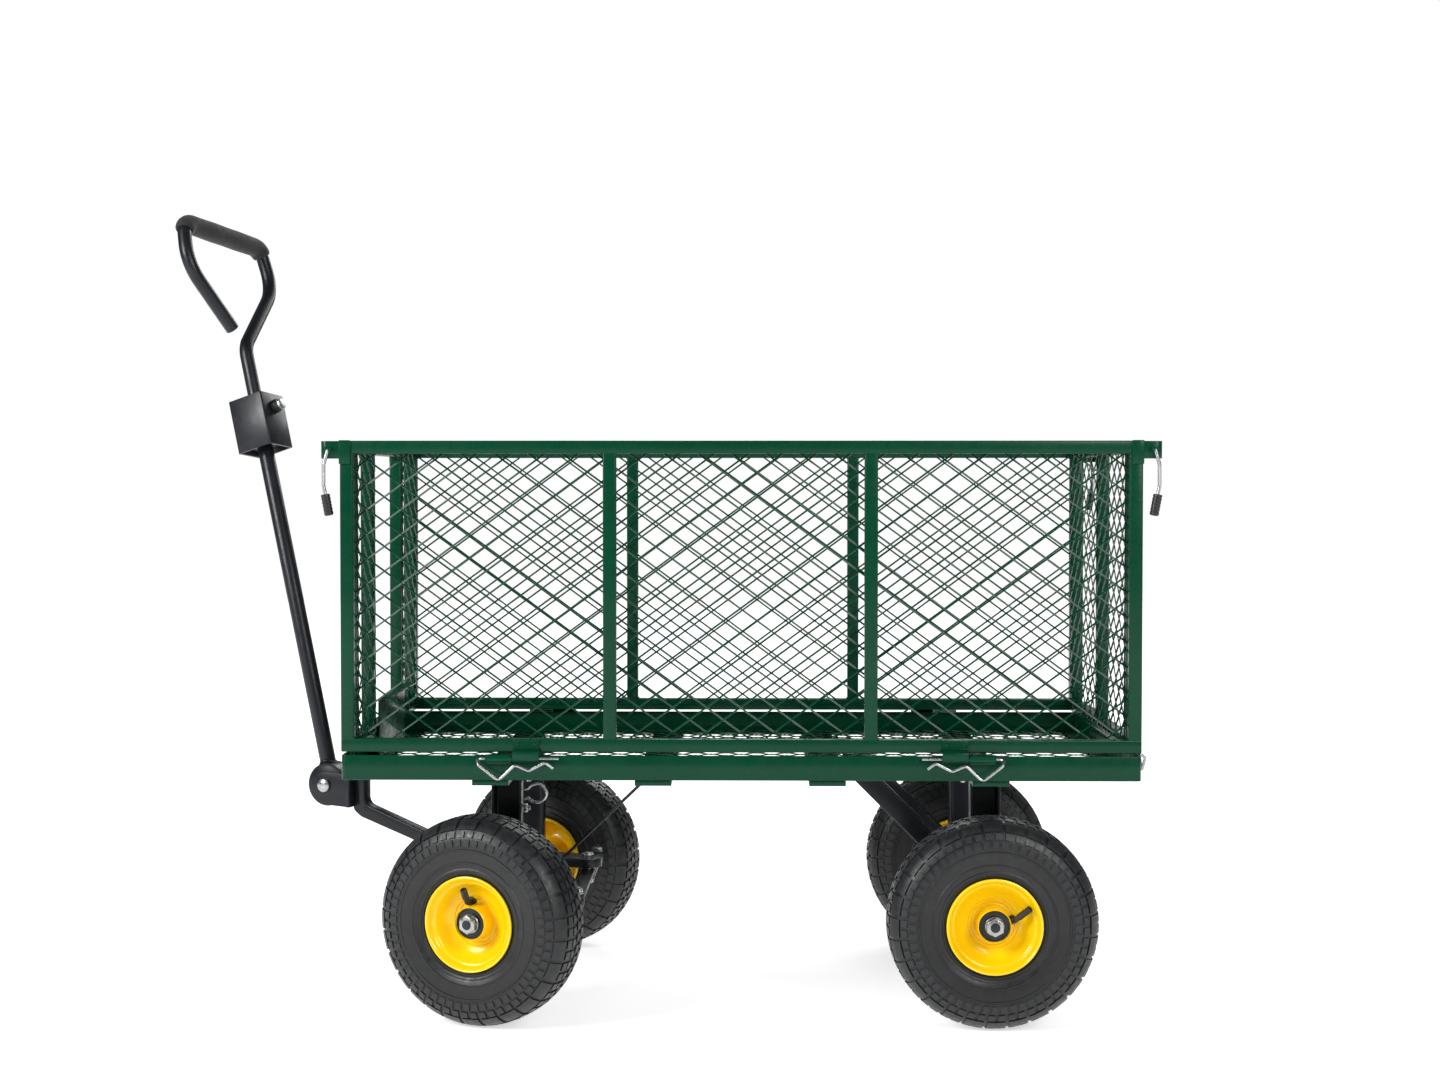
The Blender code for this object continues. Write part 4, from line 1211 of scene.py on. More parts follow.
@dataclass
class Wheel:
    """A pneumatic wheel on a stamped rim, drawn about the Y axis with its dish towards +Y."""

    radius: float = 0.130
    tread: float = 0.0020
    pitches: int = 28
    steps_per_pitch: int = 6
    hub_r: float = 0.0205
    hub_half: float = 0.034
    axle_r: float = 0.0080

    def angle_step(self, face: bmesh.types.BMFace) -> int:
        """Which step round the wheel a face lies in."""
        middle = face.calc_center_median()
        steps = self.pitches * self.steps_per_pitch
        return round(math.atan2(middle.z, middle.x) / math.tau * steps - 0.5) % steps

    def raise_blocks(self, tyre: bpy.types.Object, height: float,
                     test: Callable[[Vector, float, int], bool]) -> None:
        """Pulls blocks out of the casing.

        Args:
            tyre: The tyre in edit mode.
            height: How far the blocks stand out.
            test: Takes a face's middle, radius and step in the pitch, and says whether it is in a block.
        """
        def wanted(face: bmesh.types.BMFace) -> bool:
            middle = face.calc_center_median()
            outward = face.normal.y * middle.y > 0 or face.normal.dot(Vector((middle.x, 0, middle.z))) > 0
            return outward and test(middle, math.hypot(middle.x, middle.z), self.angle_step(face))

        pick(tyre, "faces", wanted)
        bpy.ops.mesh.extrude_region_shrink_fatten(TRANSFORM_OT_shrink_fatten={"value": height})

    def tyre(self) -> bpy.types.Object:
        """Makes the tyre: a turned casing whose tread and shoulder blocks are pulled out of its skin.

        Returns:
            The tyre.
        """
        crown = self.radius - self.tread - 0.0001
        half = [(0.0335, 0.0573), (0.0343, 0.0588), (0.0352, 0.0616), (0.0364, 0.0624), (0.0364, 0.0640),
                (0.0377, 0.0650), (0.0386, 0.0672), (0.0380, 0.0690), (0.0388, 0.0706), (0.0400, 0.0745),
                (0.0412, 0.0752), (0.0412, 0.0764), (0.0404, 0.0772), (0.0414, 0.0830), (0.0419, 0.0905),
                (0.0430, 0.0912), (0.0430, 0.0925), (0.0420, 0.0933), (0.0421, 0.0965), (0.0417, 0.1010),
                (0.0410, 0.1052),
                (0.0404, 0.1072), (0.0388, 0.1110), (0.0370, 0.1142), (0.0360, 0.1158), (0.0334, 0.1188),
                (0.0300, 0.1216), (0.0262, 0.1240), (0.0228, 0.1255), (0.0202, 0.1263), (0.0160, 0.1272),
                (0.0118, crown - 0.0003), (0.0092, crown - 0.0001), (0.0044, crown), (0.0022, crown)]
        inside = [(0.0295, 0.0573), (0.0330, 0.0690), (0.0375, 0.0930), (0.0330, 0.1100), (0.0200, 0.1215),
                  (0.0060, 0.1240)]
        profile = half + [(-along, r) for along, r in reversed(half)]
        profile += [(-along, r) for along, r in inside] + [(along, r) for along, r in reversed(inside)]
        tyre = lathe(profile, self.pitches * self.steps_per_pitch, angle=25)
        last = self.steps_per_pitch - 1
        with editing(tyre):
            self.raise_blocks(tyre, 0.0012, lambda p, r, k: abs(p.y) > 0.03 and 0.0980 < r < 0.1053
                              and (k + 2) % 3 != 0)
            self.raise_blocks(tyre, 0.0017, lambda p, r, k: abs(p.y) > 0.03 and 0.1071 < r < 0.1145
                              and k % self.steps_per_pitch not in (2, last))
            self.raise_blocks(tyre, self.tread, lambda p, r, k: abs(p.y) > 0.0226 and 0.1165 < r < 0.1262
                              and (k + (3 if p.y > 0 else 0)) % self.steps_per_pitch != last)
            self.raise_blocks(tyre, self.tread, lambda p, r, k: 0.0117 < abs(p.y) < 0.0205 and r > 0.1240
                              and (k + (1 if p.y > 0 else 0)) % 3 != 0)
            self.raise_blocks(tyre, self.tread, lambda p, r, k: 0.0020 < abs(p.y) < 0.0094 and r > 0.1260
                              and (k + (2 if p.y > 0 else 0)) % 3 != 1)
        make_active(tyre)
        bpy.ops.object.shade_smooth_by_angle(angle=math.radians(28))
        return tyre

    def rim(self) -> bpy.types.Object:
        """Makes the rim: rolled lips, a stepped dish down to the hub tube, and the barrel behind it."""
        bore = self.hub_r - 0.0012
        front = [(0.0345, 0.0565), (0.0345, 0.0582), (0.0368, 0.0591), (0.0388, 0.0588), (0.0394, 0.0576),
                 (0.0388, 0.0564), (0.0372, 0.0551), (0.0346, 0.0535), (0.0318, 0.0521), (0.0312, 0.0508),
                 (0.0308, 0.0496), (0.0284, 0.0480), (0.0232, 0.0447), (0.0190, 0.0415), (0.0160, 0.0372),
                 (0.0143, 0.0330), (0.0139, 0.0312), (0.0126, 0.0306), (0.0122, 0.0290), (0.0119, 0.0272),
                 (0.0106, 0.0266), (0.0103, 0.0248), (0.0110, 0.0230), (0.0136, 0.0214), (0.0180, self.hub_r),
                 (self.hub_half - 0.0008, self.hub_r), (self.hub_half, self.hub_r - 0.0007),
                 (self.hub_half, bore + 0.0006), (self.hub_half - 0.0008, bore)]
        back = [(-self.hub_half + 0.0008, bore), (-self.hub_half, bore + 0.0006),
                (-self.hub_half, self.hub_r - 0.0007),
                (-self.hub_half + 0.0008, self.hub_r), (0.0040, self.hub_r), (0.0078, 0.0226),
                (0.0084, 0.0262),
                (0.0100, 0.0300), (0.0118, 0.0350), (0.0150, 0.0410), (0.0196, 0.0452), (0.0245, 0.0490),
                (0.0262, 0.0519), (0.0250, 0.0539), (-0.0345, 0.0542), (-0.0372, 0.0551), (-0.0388, 0.0564),
                (-0.0394, 0.0576), (-0.0388, 0.0588), (-0.0368, 0.0591), (-0.0345, 0.0582), (-0.0345, 0.0565)]
        return lathe(front + back, 96, angle=40)

    def bearing(self) -> bpy.types.Object:
        """Makes both bearings with their dark seals and the sleeve between them."""
        outer, inner = self.hub_r - 0.0014, self.axle_r + 0.0003
        face = self.hub_half - 0.0035
        half = [(face, inner), (face, inner + 0.0022), (face - 0.0007, inner + 0.0026),
                (face - 0.0007, outer - 0.0022),
                (face, outer - 0.0018), (face, outer)]
        return lathe([(-along, r) for along, r in half] + [(along, r) for along, r in reversed(half)], 48)

    def valve(self, foot: Point, tip: Point) -> bpy.types.Object:
        """Makes the bent valve: rubber foot, stem and ribbed cap.

        Args:
            foot: Where it comes out of the dish, from the hub towards -X and +Z.
            tip: Where its cap ends.

        Returns:
            The valve, lying outward along the dish.
        """
        rise, out = 0.0245, 0.0355
        root = cylinder((foot[0], 0.0095, foot[1]), (foot[0], 0.0150, foot[1]), 0.0056, 0.0014, 24)
        stations = [(foot[0], 0.0120, foot[1]), (foot[0], rise, foot[1]), (tip[0], out, tip[1])]
        path = corners(stations, 0.0060, 5)
        stem = tube(path, 0.0034, 4)
        start, end = path[-2], Vector((tip[0], out, tip[1]))
        start = start.lerp(end, 0.20)
        length = (end - start).length
        profile = [(0.0, 0.0), (0.0, 0.0036), (0.0006, 0.0042)]
        for ring in range(5):
            at = 0.0015 + ring * length * 0.17
            profile += [(at, 0.0043), (at + 0.0005, 0.0038), (at + 0.0013, 0.0038), (at + 0.0018, 0.0043)]
        profile += [(length - 0.0010, 0.0043), (length, 0.0034), (length, 0.0)]
        cap = lathe(profile, 20, closed=False)
        aim = (end - start).to_track_quat("Y", "Z").to_matrix().to_4x4()
        settle(cap, Matrix.Translation(start) @ aim)
        return joined([root, stem, cap])

    def axle_end(self) -> list[bpy.types.Object]:
        """Makes the stepped washer and the lock nut on the axle's threaded end, standing out along +Y."""
        washer = lathe([(self.hub_half - 0.0032, self.axle_r + 0.0002), (self.hub_half - 0.0032, 0.0118),
                        (self.hub_half - 0.0006, 0.0118), (self.hub_half - 0.0002, 0.0114),
                        (self.hub_half - 0.0002, self.axle_r + 0.0002)], 36)
        nut = HexFastener(0.0205, 0.0078).build((0, self.hub_half, 0), (0, 1, 0))
        return [washer, nut]

    def build(self, name: str, body: str, holder: str, joint: str, outward: int,
              valve: tuple[Point, Point]) -> None:
        """Makes a wheel at its place.

        Args:
            name: The wheel's name, such as front_near.
            body: The body that turns.
            holder: The body that holds the axle's nut.
            joint: The joint that it spins on.
            outward: 1 where the dish faces +Y, -1 where it faces -Y.
            valve: Where the valve's foot and tip are.
        """
        steer = Matrix.Rotation(STEER if name.startswith("front") else 0.0, 4, "Z")
        place = Matrix.Translation(joint_point(joint)) @ steer @ (IDENTITY if outward > 0 else HALF_TURN)
        deliver(f"{name}_tyre", self.tyre(), body, Finish.TYRE, [f"tyre_{name}"], place)
        deliver(f"{name}_rim", self.rim(), body, Finish.YELLOW, [f"rim_{name}"], place)
        deliver(f"{name}_bearings", self.bearing(), body, Finish.PLASTIC, (), place)
        deliver(f"{name}_valve", self.valve(*valve), body, Finish.PLASTIC, (), place)
        deliver(f"{name}_lock_nut", self.axle_end(), holder, Finish.ZINC, [f"axle_nut_{name}"], place)
        face = self.hub_half + 0.0070
        insert = cylinder((0, face, 0), (0, face + 0.0014, 0), 0.0060, 0.0004, 28)
        deliver(f"{name}_nut_insert", insert, holder, Finish.PLASTIC, (), place)


# ---------------------------------------------------------------- axles


@dataclass
class AxlePost:
    """A post of folded channel, open to the outside, with a green bolting plate over it."""

    x: float
    side: int
    foot: float
    top: float = 0.2982
    half: float = 0.019
    inner: float = 0.128
    outer: float = 0.158
    sheet: float = 0.0030
    bolt_x: float = 0.0250

    def channel(self) -> bpy.types.Object:
        """The post itself."""
        wall = self.sheet / 2
        inner, outer = self.side * (self.inner + wall), self.side * self.outer
        left, right = self.x - self.half + wall, self.x + self.half - wall
        section = corners([(left, outer, self.foot), (left, inner, self.foot), (right, inner, self.foot),
                           (right, outer, self.foot)], 0.0045, 4)
        return folded(section, (0, 0, self.top - 0.0030 - self.foot), self.sheet, 0.0007)

    def plate(self) -> bpy.types.Object:
        """The bolting plate between the post and the cross-member."""
        return block((self.x - self.half - 0.0125, self.x + self.half + 0.0125),
                     (self.side * (self.inner - 0.004), self.side * (self.outer + 0.003)),
                     (self.top - 0.0032, self.top + 0.0002), 0.0012, 3)

    def fasteners(self) -> list[bpy.types.Object]:
        """The bolt heads under the plate."""
        y = self.side * (self.inner + self.outer) / 2
        return [HexFastener(0.0100, 0.0050, 0.0068).build((self.x + way * self.bolt_x, y, self.top - 0.0034),
                                                          (0, 0, -1)) for way in (-1, 1)]


@dataclass
class RearAxle:
    """The rear posts with their beam, shaft, struts and bolts."""

    x: float = 0.310
    foot: float = 0.112
    axle_z: float = 0.130
    axle_r: float = 0.0080
    track_half: float = 0.236
    hub_half: float = 0.034
    strut: float = 0.025
    strut_reach: float = 0.155
    strut_y: tuple[float, float] = (0.090, 0.115)

    def strut_shapes(self, side: int) -> list[bpy.types.Object]:
        """A strut of square tube at 45 degrees, with its weld beads; its bolting plate is made with the axle.

        Args:
            side: -1 near, 1 far.

        Returns:
            The shapes.
        """
        top = 0.2982
        end = self.x - 0.0173
        low, high = sorted(side * y for y in self.strut_y)
        long, short = self.strut_reach, self.strut_reach - self.strut * math.sqrt(2)
        outline = [(end - long, top - 0.003), (end, top - long - 0.003), (end, top - short),
                   (end - short, top - 0.003)]
        shapes = [plate(outline, low, high, 0.0024, 3)]
        shapes.append(weld_bead((end - long + 0.002, low, top - 0.0045),
                                (end - short - 0.002, low, top - 0.0045)))
        shapes.append(weld_bead((end - 0.0005, low, top - long + 0.004),
                                (end - 0.0005, low, top - short - 0.004)))
        shapes.append(weld_bead((end - 0.0005, high, top - long + 0.004),
                                (end - 0.0005, high, top - short - 0.004)))
        return shapes

    def build(self) -> None:
        """Makes the axle's pieces."""
        x, wall = self.x, 0.0025
        shapes, plates, bolts = [], [], []
        for side in (-1, 1):
            post = AxlePost(x, side, self.foot)
            shapes += [post.channel(), *self.sockets(side)]
            plates.append(post.plate())
            bolts += post.fasteners()
        section = corners([(x - 0.0165 + wall, 0, 0.1440), (x - 0.0165 + wall, 0, 0.1668),
                           (x + 0.0165 - wall, 0, 0.1668),
                           (x + 0.0165 - wall, 0, 0.1440)], 0.0035, 4)
        section = [Vector((p.x, -0.1285, p.z)) for p in section]
        shapes.append(folded(section, (0, 0.257, 0), wall))
        for side in (-1, 1):
            shapes += [weld_bead((x - 0.014, side * 0.1280, z),
                                 (x + 0.014, side * 0.1280, z)) for z in (0.1430, 0.1682)]
        deliver("rear_posts_and_beam", shapes, "chassis", Finish.BLACK, ["rear_axle_frame"], DECK)
        for side, name in ((-1, "near"), (1, "far")):
            deliver(f"rear_{name}_strut", self.strut_shapes(side), "chassis", Finish.BLACK,
                    [f"rear_strut_{name}"], DECK)
            head_x = x - 0.0173 - self.strut_reach
            plates.append(block((head_x - 0.021, head_x + 0.040), (side * 0.086, side * 0.119),
                                (0.2952, 0.2984),
                                0.0012, 3))
            for bolt, bolt_x in ((HexFastener(0.0085, 0.0045, 0.0060, 0.0020, 0.0026), head_x - 0.0110),
                                 (HexFastener(0.0085, 0.0045, 0.0060), head_x + 0.0440)):
                for bolt_y in (0.0935, 0.1115):
                    bolts.append(bolt.build((bolt_x, side * bolt_y, 0.2950), (0, 0, -1)))
        deliver("rear_bolting_plates", plates, "chassis", Finish.GREEN, (), DECK)
        deliver("rear_bolts", bolts, "chassis", Finish.ZINC, (), DECK)
        reach = self.track_half + self.hub_half
        shaft = lathe([(-reach, 0.0), (-reach, 0.0070), (-reach + 0.001, self.axle_r), (-0.160, self.axle_r),
                       (0.160, self.axle_r), (reach - 0.001, self.axle_r), (reach, 0.0070), (reach, 0.0)], 40,
                      closed=False)
        deliver("rear_shaft", shaft, "chassis", Finish.ZINC, ["rear_axle_shaft"],
                DECK @ Matrix.Translation((x, 0, self.axle_z)))

    def sockets(self, side: int) -> list[bpy.types.Object]:
        """The spacer tube between a post and its wheel, and the ring that it is welded to."""
        ring = lathe([(0.126, self.axle_r + 0.0006), (0.126, 0.0135), (0.1265, 0.0140), (0.1595, 0.0140),
                      (0.160, 0.0135), (0.160, self.axle_r + 0.0006)], 36)
        spacer = lathe([(0.1602, self.axle_r + 0.0006), (0.1602, 0.0115), (0.2014, 0.0115),
                        (0.2014, self.axle_r + 0.0006)], 36)
        place = Matrix.Translation((self.x, 0, self.axle_z)) @ (IDENTITY if side > 0 else HALF_TURN)
        return [settle(shape, place) for shape in (ring, spacer)]


@dataclass
class FrontAxle:
    """The front posts with their beam, kingpins, brace, strap and ring clip."""

    x: float = -0.298
    beam_low: float = 0.100
    beam_top: float = 0.160
    beam_half: float = 0.015
    kingpin_y: float = 0.172
    kingpin_r: float = 0.0060
    sheet: float = 0.0040

    def beam(self) -> list[bpy.types.Object]:
        """The beam: folded channel, open at the bottom, with a tube for the steering pivot through it."""
        wall = self.sheet / 2
        left, right = self.x - self.beam_half + wall, self.x + self.beam_half - wall
        section = corners([(left, -0.150, self.beam_low), (left, -0.150, self.beam_top - wall),
                           (right, -0.150, self.beam_top - wall), (right, -0.150, self.beam_low)], 0.0050, 5)
        pivot = settle(lathe([(0.1, 0.0076), (0.1, 0.0125), (0.1595, 0.0125), (0.1595, 0.0076)], 36),
                       Matrix.Translation((self.x, 0, 0)) @ Matrix.Rotation(math.pi / 2, 4, "X"))
        return [folded(section, (0, 0.300, 0), self.sheet, 0.0008), pivot]

    def lugs(self, side: int) -> list[bpy.types.Object]:
        """The two lugs that hold a kingpin."""
        shapes = []
        for low, high in ((self.beam_low + 0.0002, self.beam_low + 0.0077),
                          (self.beam_top - 0.0077, self.beam_top - 0.0002)):
            outline = [(self.x - 0.018, side * 0.130), (self.x + 0.018, side * 0.130),
                       (self.x + 0.018, side * 0.178)]
            arc = [math.radians(20 + 20 * step) for step in range(8)]
            outline += [(self.x + 0.018 * math.cos(angle), side * (self.kingpin_y + 0.018 * math.sin(angle)))
                        for angle in arc if math.sin(angle) > 0.30]
            outline.append((self.x - 0.018, side * 0.178))
            lug = plate(outline, -high, -low, 0.0010)
            shapes.append(settle(lug, LAID))
        return shapes

    def build(self) -> None:
        """Makes the axle's pieces."""
        shapes, plates, bolts = self.beam(), [], []
        for side in (-1, 1):
            post = AxlePost(self.x, side, self.beam_top - 0.003)
            shapes += [post.channel(), *self.lugs(side)]
            shapes += [weld_bead((self.x + way * 0.0175, side * 0.1290, self.beam_top + 0.001),
                                 (self.x + way * 0.0175, side * 0.1500, self.beam_top + 0.001))
                       for way in (-1, 1)]
            plates.append(post.plate())
            bolts += post.fasteners()
            strap = folded(corners([(-0.396, side * 0.143 - 0.010, 0.3040),
                                    (-0.386, side * 0.143 - 0.010, 0.3030),
                                    (self.x - 0.0170, side * 0.143 - 0.010, 0.2925)], 0.01, 3),
                           (0, 0.020, 0), 0.0024)
            shapes.append(strap)
            kingpin = cylinder((self.x, side * self.kingpin_y, 0.0915),
                               (self.x, side * self.kingpin_y, 0.1640),
                               self.kingpin_r, 0.0008)
            nut = HexFastener(0.0180, 0.0072, 0.0108).build((self.x, side * self.kingpin_y, self.beam_top),
                                                            (0, 0, 1))
            foot = HexFastener(0.0180, 0.0065, 0.0108).build((self.x, side * self.kingpin_y, self.beam_low),
                                                             (0, 0, -1))
            name = "near" if side < 0 else "far"
            deliver(f"kingpin_bolt_{name}", [kingpin, nut, foot], "chassis", Finish.ZINC,
                    [f"kingpin_{name}"], DECK)
        deliver("front_posts_and_beam", shapes, "chassis", Finish.BLACK, ["front_axle_frame"], DECK)
        deliver("front_bolting_plates", plates, "chassis", Finish.GREEN, (), DECK)
        bolts.append(HexFastener(0.0100, 0.0065, 0.0070, 0.0030, 0.0030).build(
            (self.x + 0.0190, -0.1500, 0.2555), (1, 0, 0)))
        deliver("front_bolts", bolts, "chassis", Finish.ZINC, (), DECK)
        pivot = cylinder((self.x, 0, 0.104), (self.x, 0, 0.1745), 0.0070, 0.0008)
        head = HexFastener(0.0215, 0.0070, 0.0150).build((self.x, 0, 0.1731), (0, 0, 1))
        deliver("steering_bolt", [pivot, head], "chassis", Finish.ZINC, ["steering_pivot_bolt"], DECK)
        path = corners([(-0.1110, -0.075, 0.2955), (-0.1180, -0.075, 0.2890),
                        (self.x + 0.0245, -0.075, 0.1400),
                        (self.x + 0.0172, -0.075, 0.1330)], 0.006, 4)
        deliver("front_brace", tube(path, 0.0020, 4), "chassis", Finish.BLACK, ["front_brace_rod"], DECK)
        self.ring_clip()

    def ring_clip(self) -> None:
        """Makes the spring ring that hangs on the near front post."""
        angles = [math.radians(150 - 300 * step / 24) for step in range(25)]
        ring = [(self.x + 0.038 + 0.0125 * math.cos(a), -0.150,
                 0.2745 + 0.0118 * math.sin(a)) for a in angles]
        path = [(self.x + 0.0214, -0.150, 0.2792), *ring, (self.x + 0.0214, -0.150, 0.2665)]
        deliver("ring_clip", tube(path, 0.0018, 5), "chassis", Finish.ZINC, ["post_clip"], DECK)


# ---------------------------------------------------------------- steering


@dataclass
class Steering:
    """Knuckles, tie rods and the drawbar with its bracket."""

    kingpin_y: float = 0.172
    arm: float = 0.100
    axle_z: float = 0.130
    stub_out: float = 0.064
    hub_half: float = 0.034
    ahead: float = 0.290
    pivot_z: float = 0.2514

    def knuckle(self, side: int, name: str) -> None:
        """Makes a knuckle: sleeve, stub axle, steering arm and its stud."""
        low = 0.1420 if side < 0 else 0.1360
        sleeve = settle(lathe([(-0.1517, 0.0067), (-0.1517, 0.0132), (-0.1510, 0.0140), (-0.1088, 0.0140),
                               (-0.1081, 0.0132), (-0.1081, 0.0067)], 40),
                        Matrix.Rotation(-math.pi / 2, 4, "X"))
        collar = cylinder((0, side * 0.0095, self.axle_z),
                          (0, side * (self.stub_out - self.hub_half - 0.0003), self.axle_z),
                          0.0120, 0.0010)
        stub = cylinder((0, side * 0.028, self.axle_z),
                        (0, side * (self.stub_out + self.hub_half), self.axle_z), 0.0080, 0.0010)
        outline = [(0.0080, -0.009), (self.arm, -0.009)]
        outline += [(self.arm + 0.009 * math.sin(math.radians(15 * k)),
                     -0.009 * math.cos(math.radians(15 * k)))
                    for k in range(1, 12)]
        outline += [(self.arm, 0.009), (0.0080, 0.009)]
        arm = settle(plate(outline, -low - 0.0085, -low, 0.0010), LAID)
        stud = cylinder((self.arm, 0, low + 0.004), (self.arm, 0, low + 0.0175), 0.0040, 0.0006, 24)
        bead = weld_bead((0.0135, -0.008, low + 0.0086), (0.0135, 0.008, low + 0.0086))
        place = DECK @ Matrix.Translation((-0.298, side * self.kingpin_y, 0)) @ Matrix.Rotation(STEER, 4, "Z")
        deliver(f"{name}_knuckle", [sleeve, collar, stub, arm, stud, bead], f"knuckle_{name}_body",
                Finish.BLACK, [f"knuckle_{name}"], place)
        nut = HexFastener(0.0125, 0.0050, 0.0078, 0.0022, 0.0038).build((self.arm, 0, low + 0.0149),
                                                                        (0, 0, 1))
        head = HexFastener(0.0125, 0.0042, 0.0078).build((self.arm, 0, low), (0, 0, -1))
        deliver(f"{name}_arm_nut", [nut, head], f"knuckle_{name}_body", Finish.ZINC, (), place)

    def tie_rod(self, side: int, name: str, low: float) -> None:
        """Makes a tie rod: a flat bar with a round eye at each end."""
        high = low + 0.0055
        outline = []
        for centre, first in ((0.0, 180), (self.kingpin_y, 0)):
            outline += [(0.0095 * math.cos(math.radians(first + 15 * k)),
                         centre + 0.0095 * math.sin(math.radians(first + 15 * k))) for k in range(1, 12)]
        outline = [(x, side * y) for x, y in outline]
        bar = settle(plate(outline, -high, -low, 0.0009), LAID)
        place = STEERED @ Matrix.Translation((self.arm, 0, 0)) @ Matrix.Rotation(-STEER, 4, "Z")
        deliver(f"{name}_tie_rod", bar, f"tie_rod_{name}_body", Finish.BLACK, [f"tie_rod_{name}"], place)

    def drawbar(self) -> None:
        """Makes the drawbar: a bent square bar from the pivot plate to the handle's bracket."""
        arc = [math.radians(-90 - 15 * step) for step in range(13)]
        tail = [(self.arm, -0.019)] + [(self.arm + 0.019 * math.sin(math.radians(15 * k)),
                                        -0.019 * math.cos(math.radians(15 * k))) for k in range(1, 12)]
        outline = [(-0.105, -0.019), *tail, (self.arm, 0.019), (-0.105, 0.019)]
        pivot_plate = settle(plate(outline, -0.1725, -0.1605, 0.0012), LAID)
        lower = corners([(-0.086, 0, 0.1612), (-0.098, 0, 0.1612), (-0.240, 0, 0.2085), (-0.2520, 0, 0.2175),
                         (-0.2520, 0, 0.2770)], [0.02, 0.02, 0.010], 5)
        upper = corners([(-0.2340, 0, 0.2770), (-0.2340, 0, 0.2270), (-0.098, 0, 0.1788),
                         (-0.086, 0, 0.1788)],
                        [0.012, 0.02], 5)
        bar = plate([(p.x, p.z) for p in [*lower, *upper]], -0.0092, 0.0092, 0.0022, 3)
        web = block((-0.2565, -0.2510), (-0.0215, 0.0215), (0.2220, 0.2680), 0.0010)
        cheek = [(-0.2550, 0.2225)] + [(-self.ahead + 0.0225 * math.cos(a),
                                        self.pivot_z - 0.0045 + 0.0225 * math.sin(a))
                                       for a in arc] + [(-0.2550, 0.2675)]
        shapes = [pivot_plate, bar, web]
        shapes += [plate(cheek, low, high, 0.0008) for low, high in ((-0.0215, -0.0173), (0.0173, 0.0215))]
        for y in (-0.0205, 0.0205):
            shapes.append(weld_bead((-0.2512, y, 0.2240), (-0.2512, y, 0.2660), 0.0022))
        shapes += [weld_bead((-0.100, y, 0.1730), (-0.086, y, 0.1730), 0.0018) for y in (-0.0100, 0.0100)]
        deliver("drawbar_and_bracket", shapes, "drawbar_arm", Finish.BLACK, ["drawbar"], STEERED)
        bolt = cylinder((self.arm, 0, 0.1400), (self.arm, 0, 0.1790), 0.0040, 0.0006, 24)
        nuts = [HexFastener(0.0130, 0.0050, 0.0085).build((self.arm, 0, 0.1727), (0, 0, 1)),
                HexFastener(0.0130, 0.0045, 0.0085).build((self.arm, 0, 0.1442), (0, 0, -1))]
        deliver("tie_rod_pivot_bolt", [bolt, *nuts], "drawbar_arm", Finish.ZINC, ["tie_rod_bolt"], STEERED)
        dome = lathe([(-0.0220, 0.0), (-0.0220, 0.0096), (-0.0232, 0.0098), (-0.0252, 0.0090),
                      (-0.0268, 0.0068), (-0.0276, 0.0034), (-0.0278, 0.0)], 36, closed=False)
        shank = cylinder((0, -0.0225, 0), (0, 0.0290, 0), 0.0060, 0.0006, 32)
        nut = HexFastener(0.0190, 0.0060, 0.0120, 0.0022, 0.0058).build((0, 0.0217, 0), (0, 1, 0))
        deliver("bracket_bolt", [dome, shank, nut], "drawbar_arm", Finish.ZINC, ["handle_pivot_bolt"],
                STEERED @ Matrix.Translation((-self.ahead, 0, self.pivot_z)))

    def build(self) -> None:
        """Makes the steering's pieces."""
        for side, name, low in ((-1, "near", 0.1508), (1, "far", 0.1448)):
            self.knuckle(side, name)
            self.tie_rod(side, name, low)
        self.drawbar()


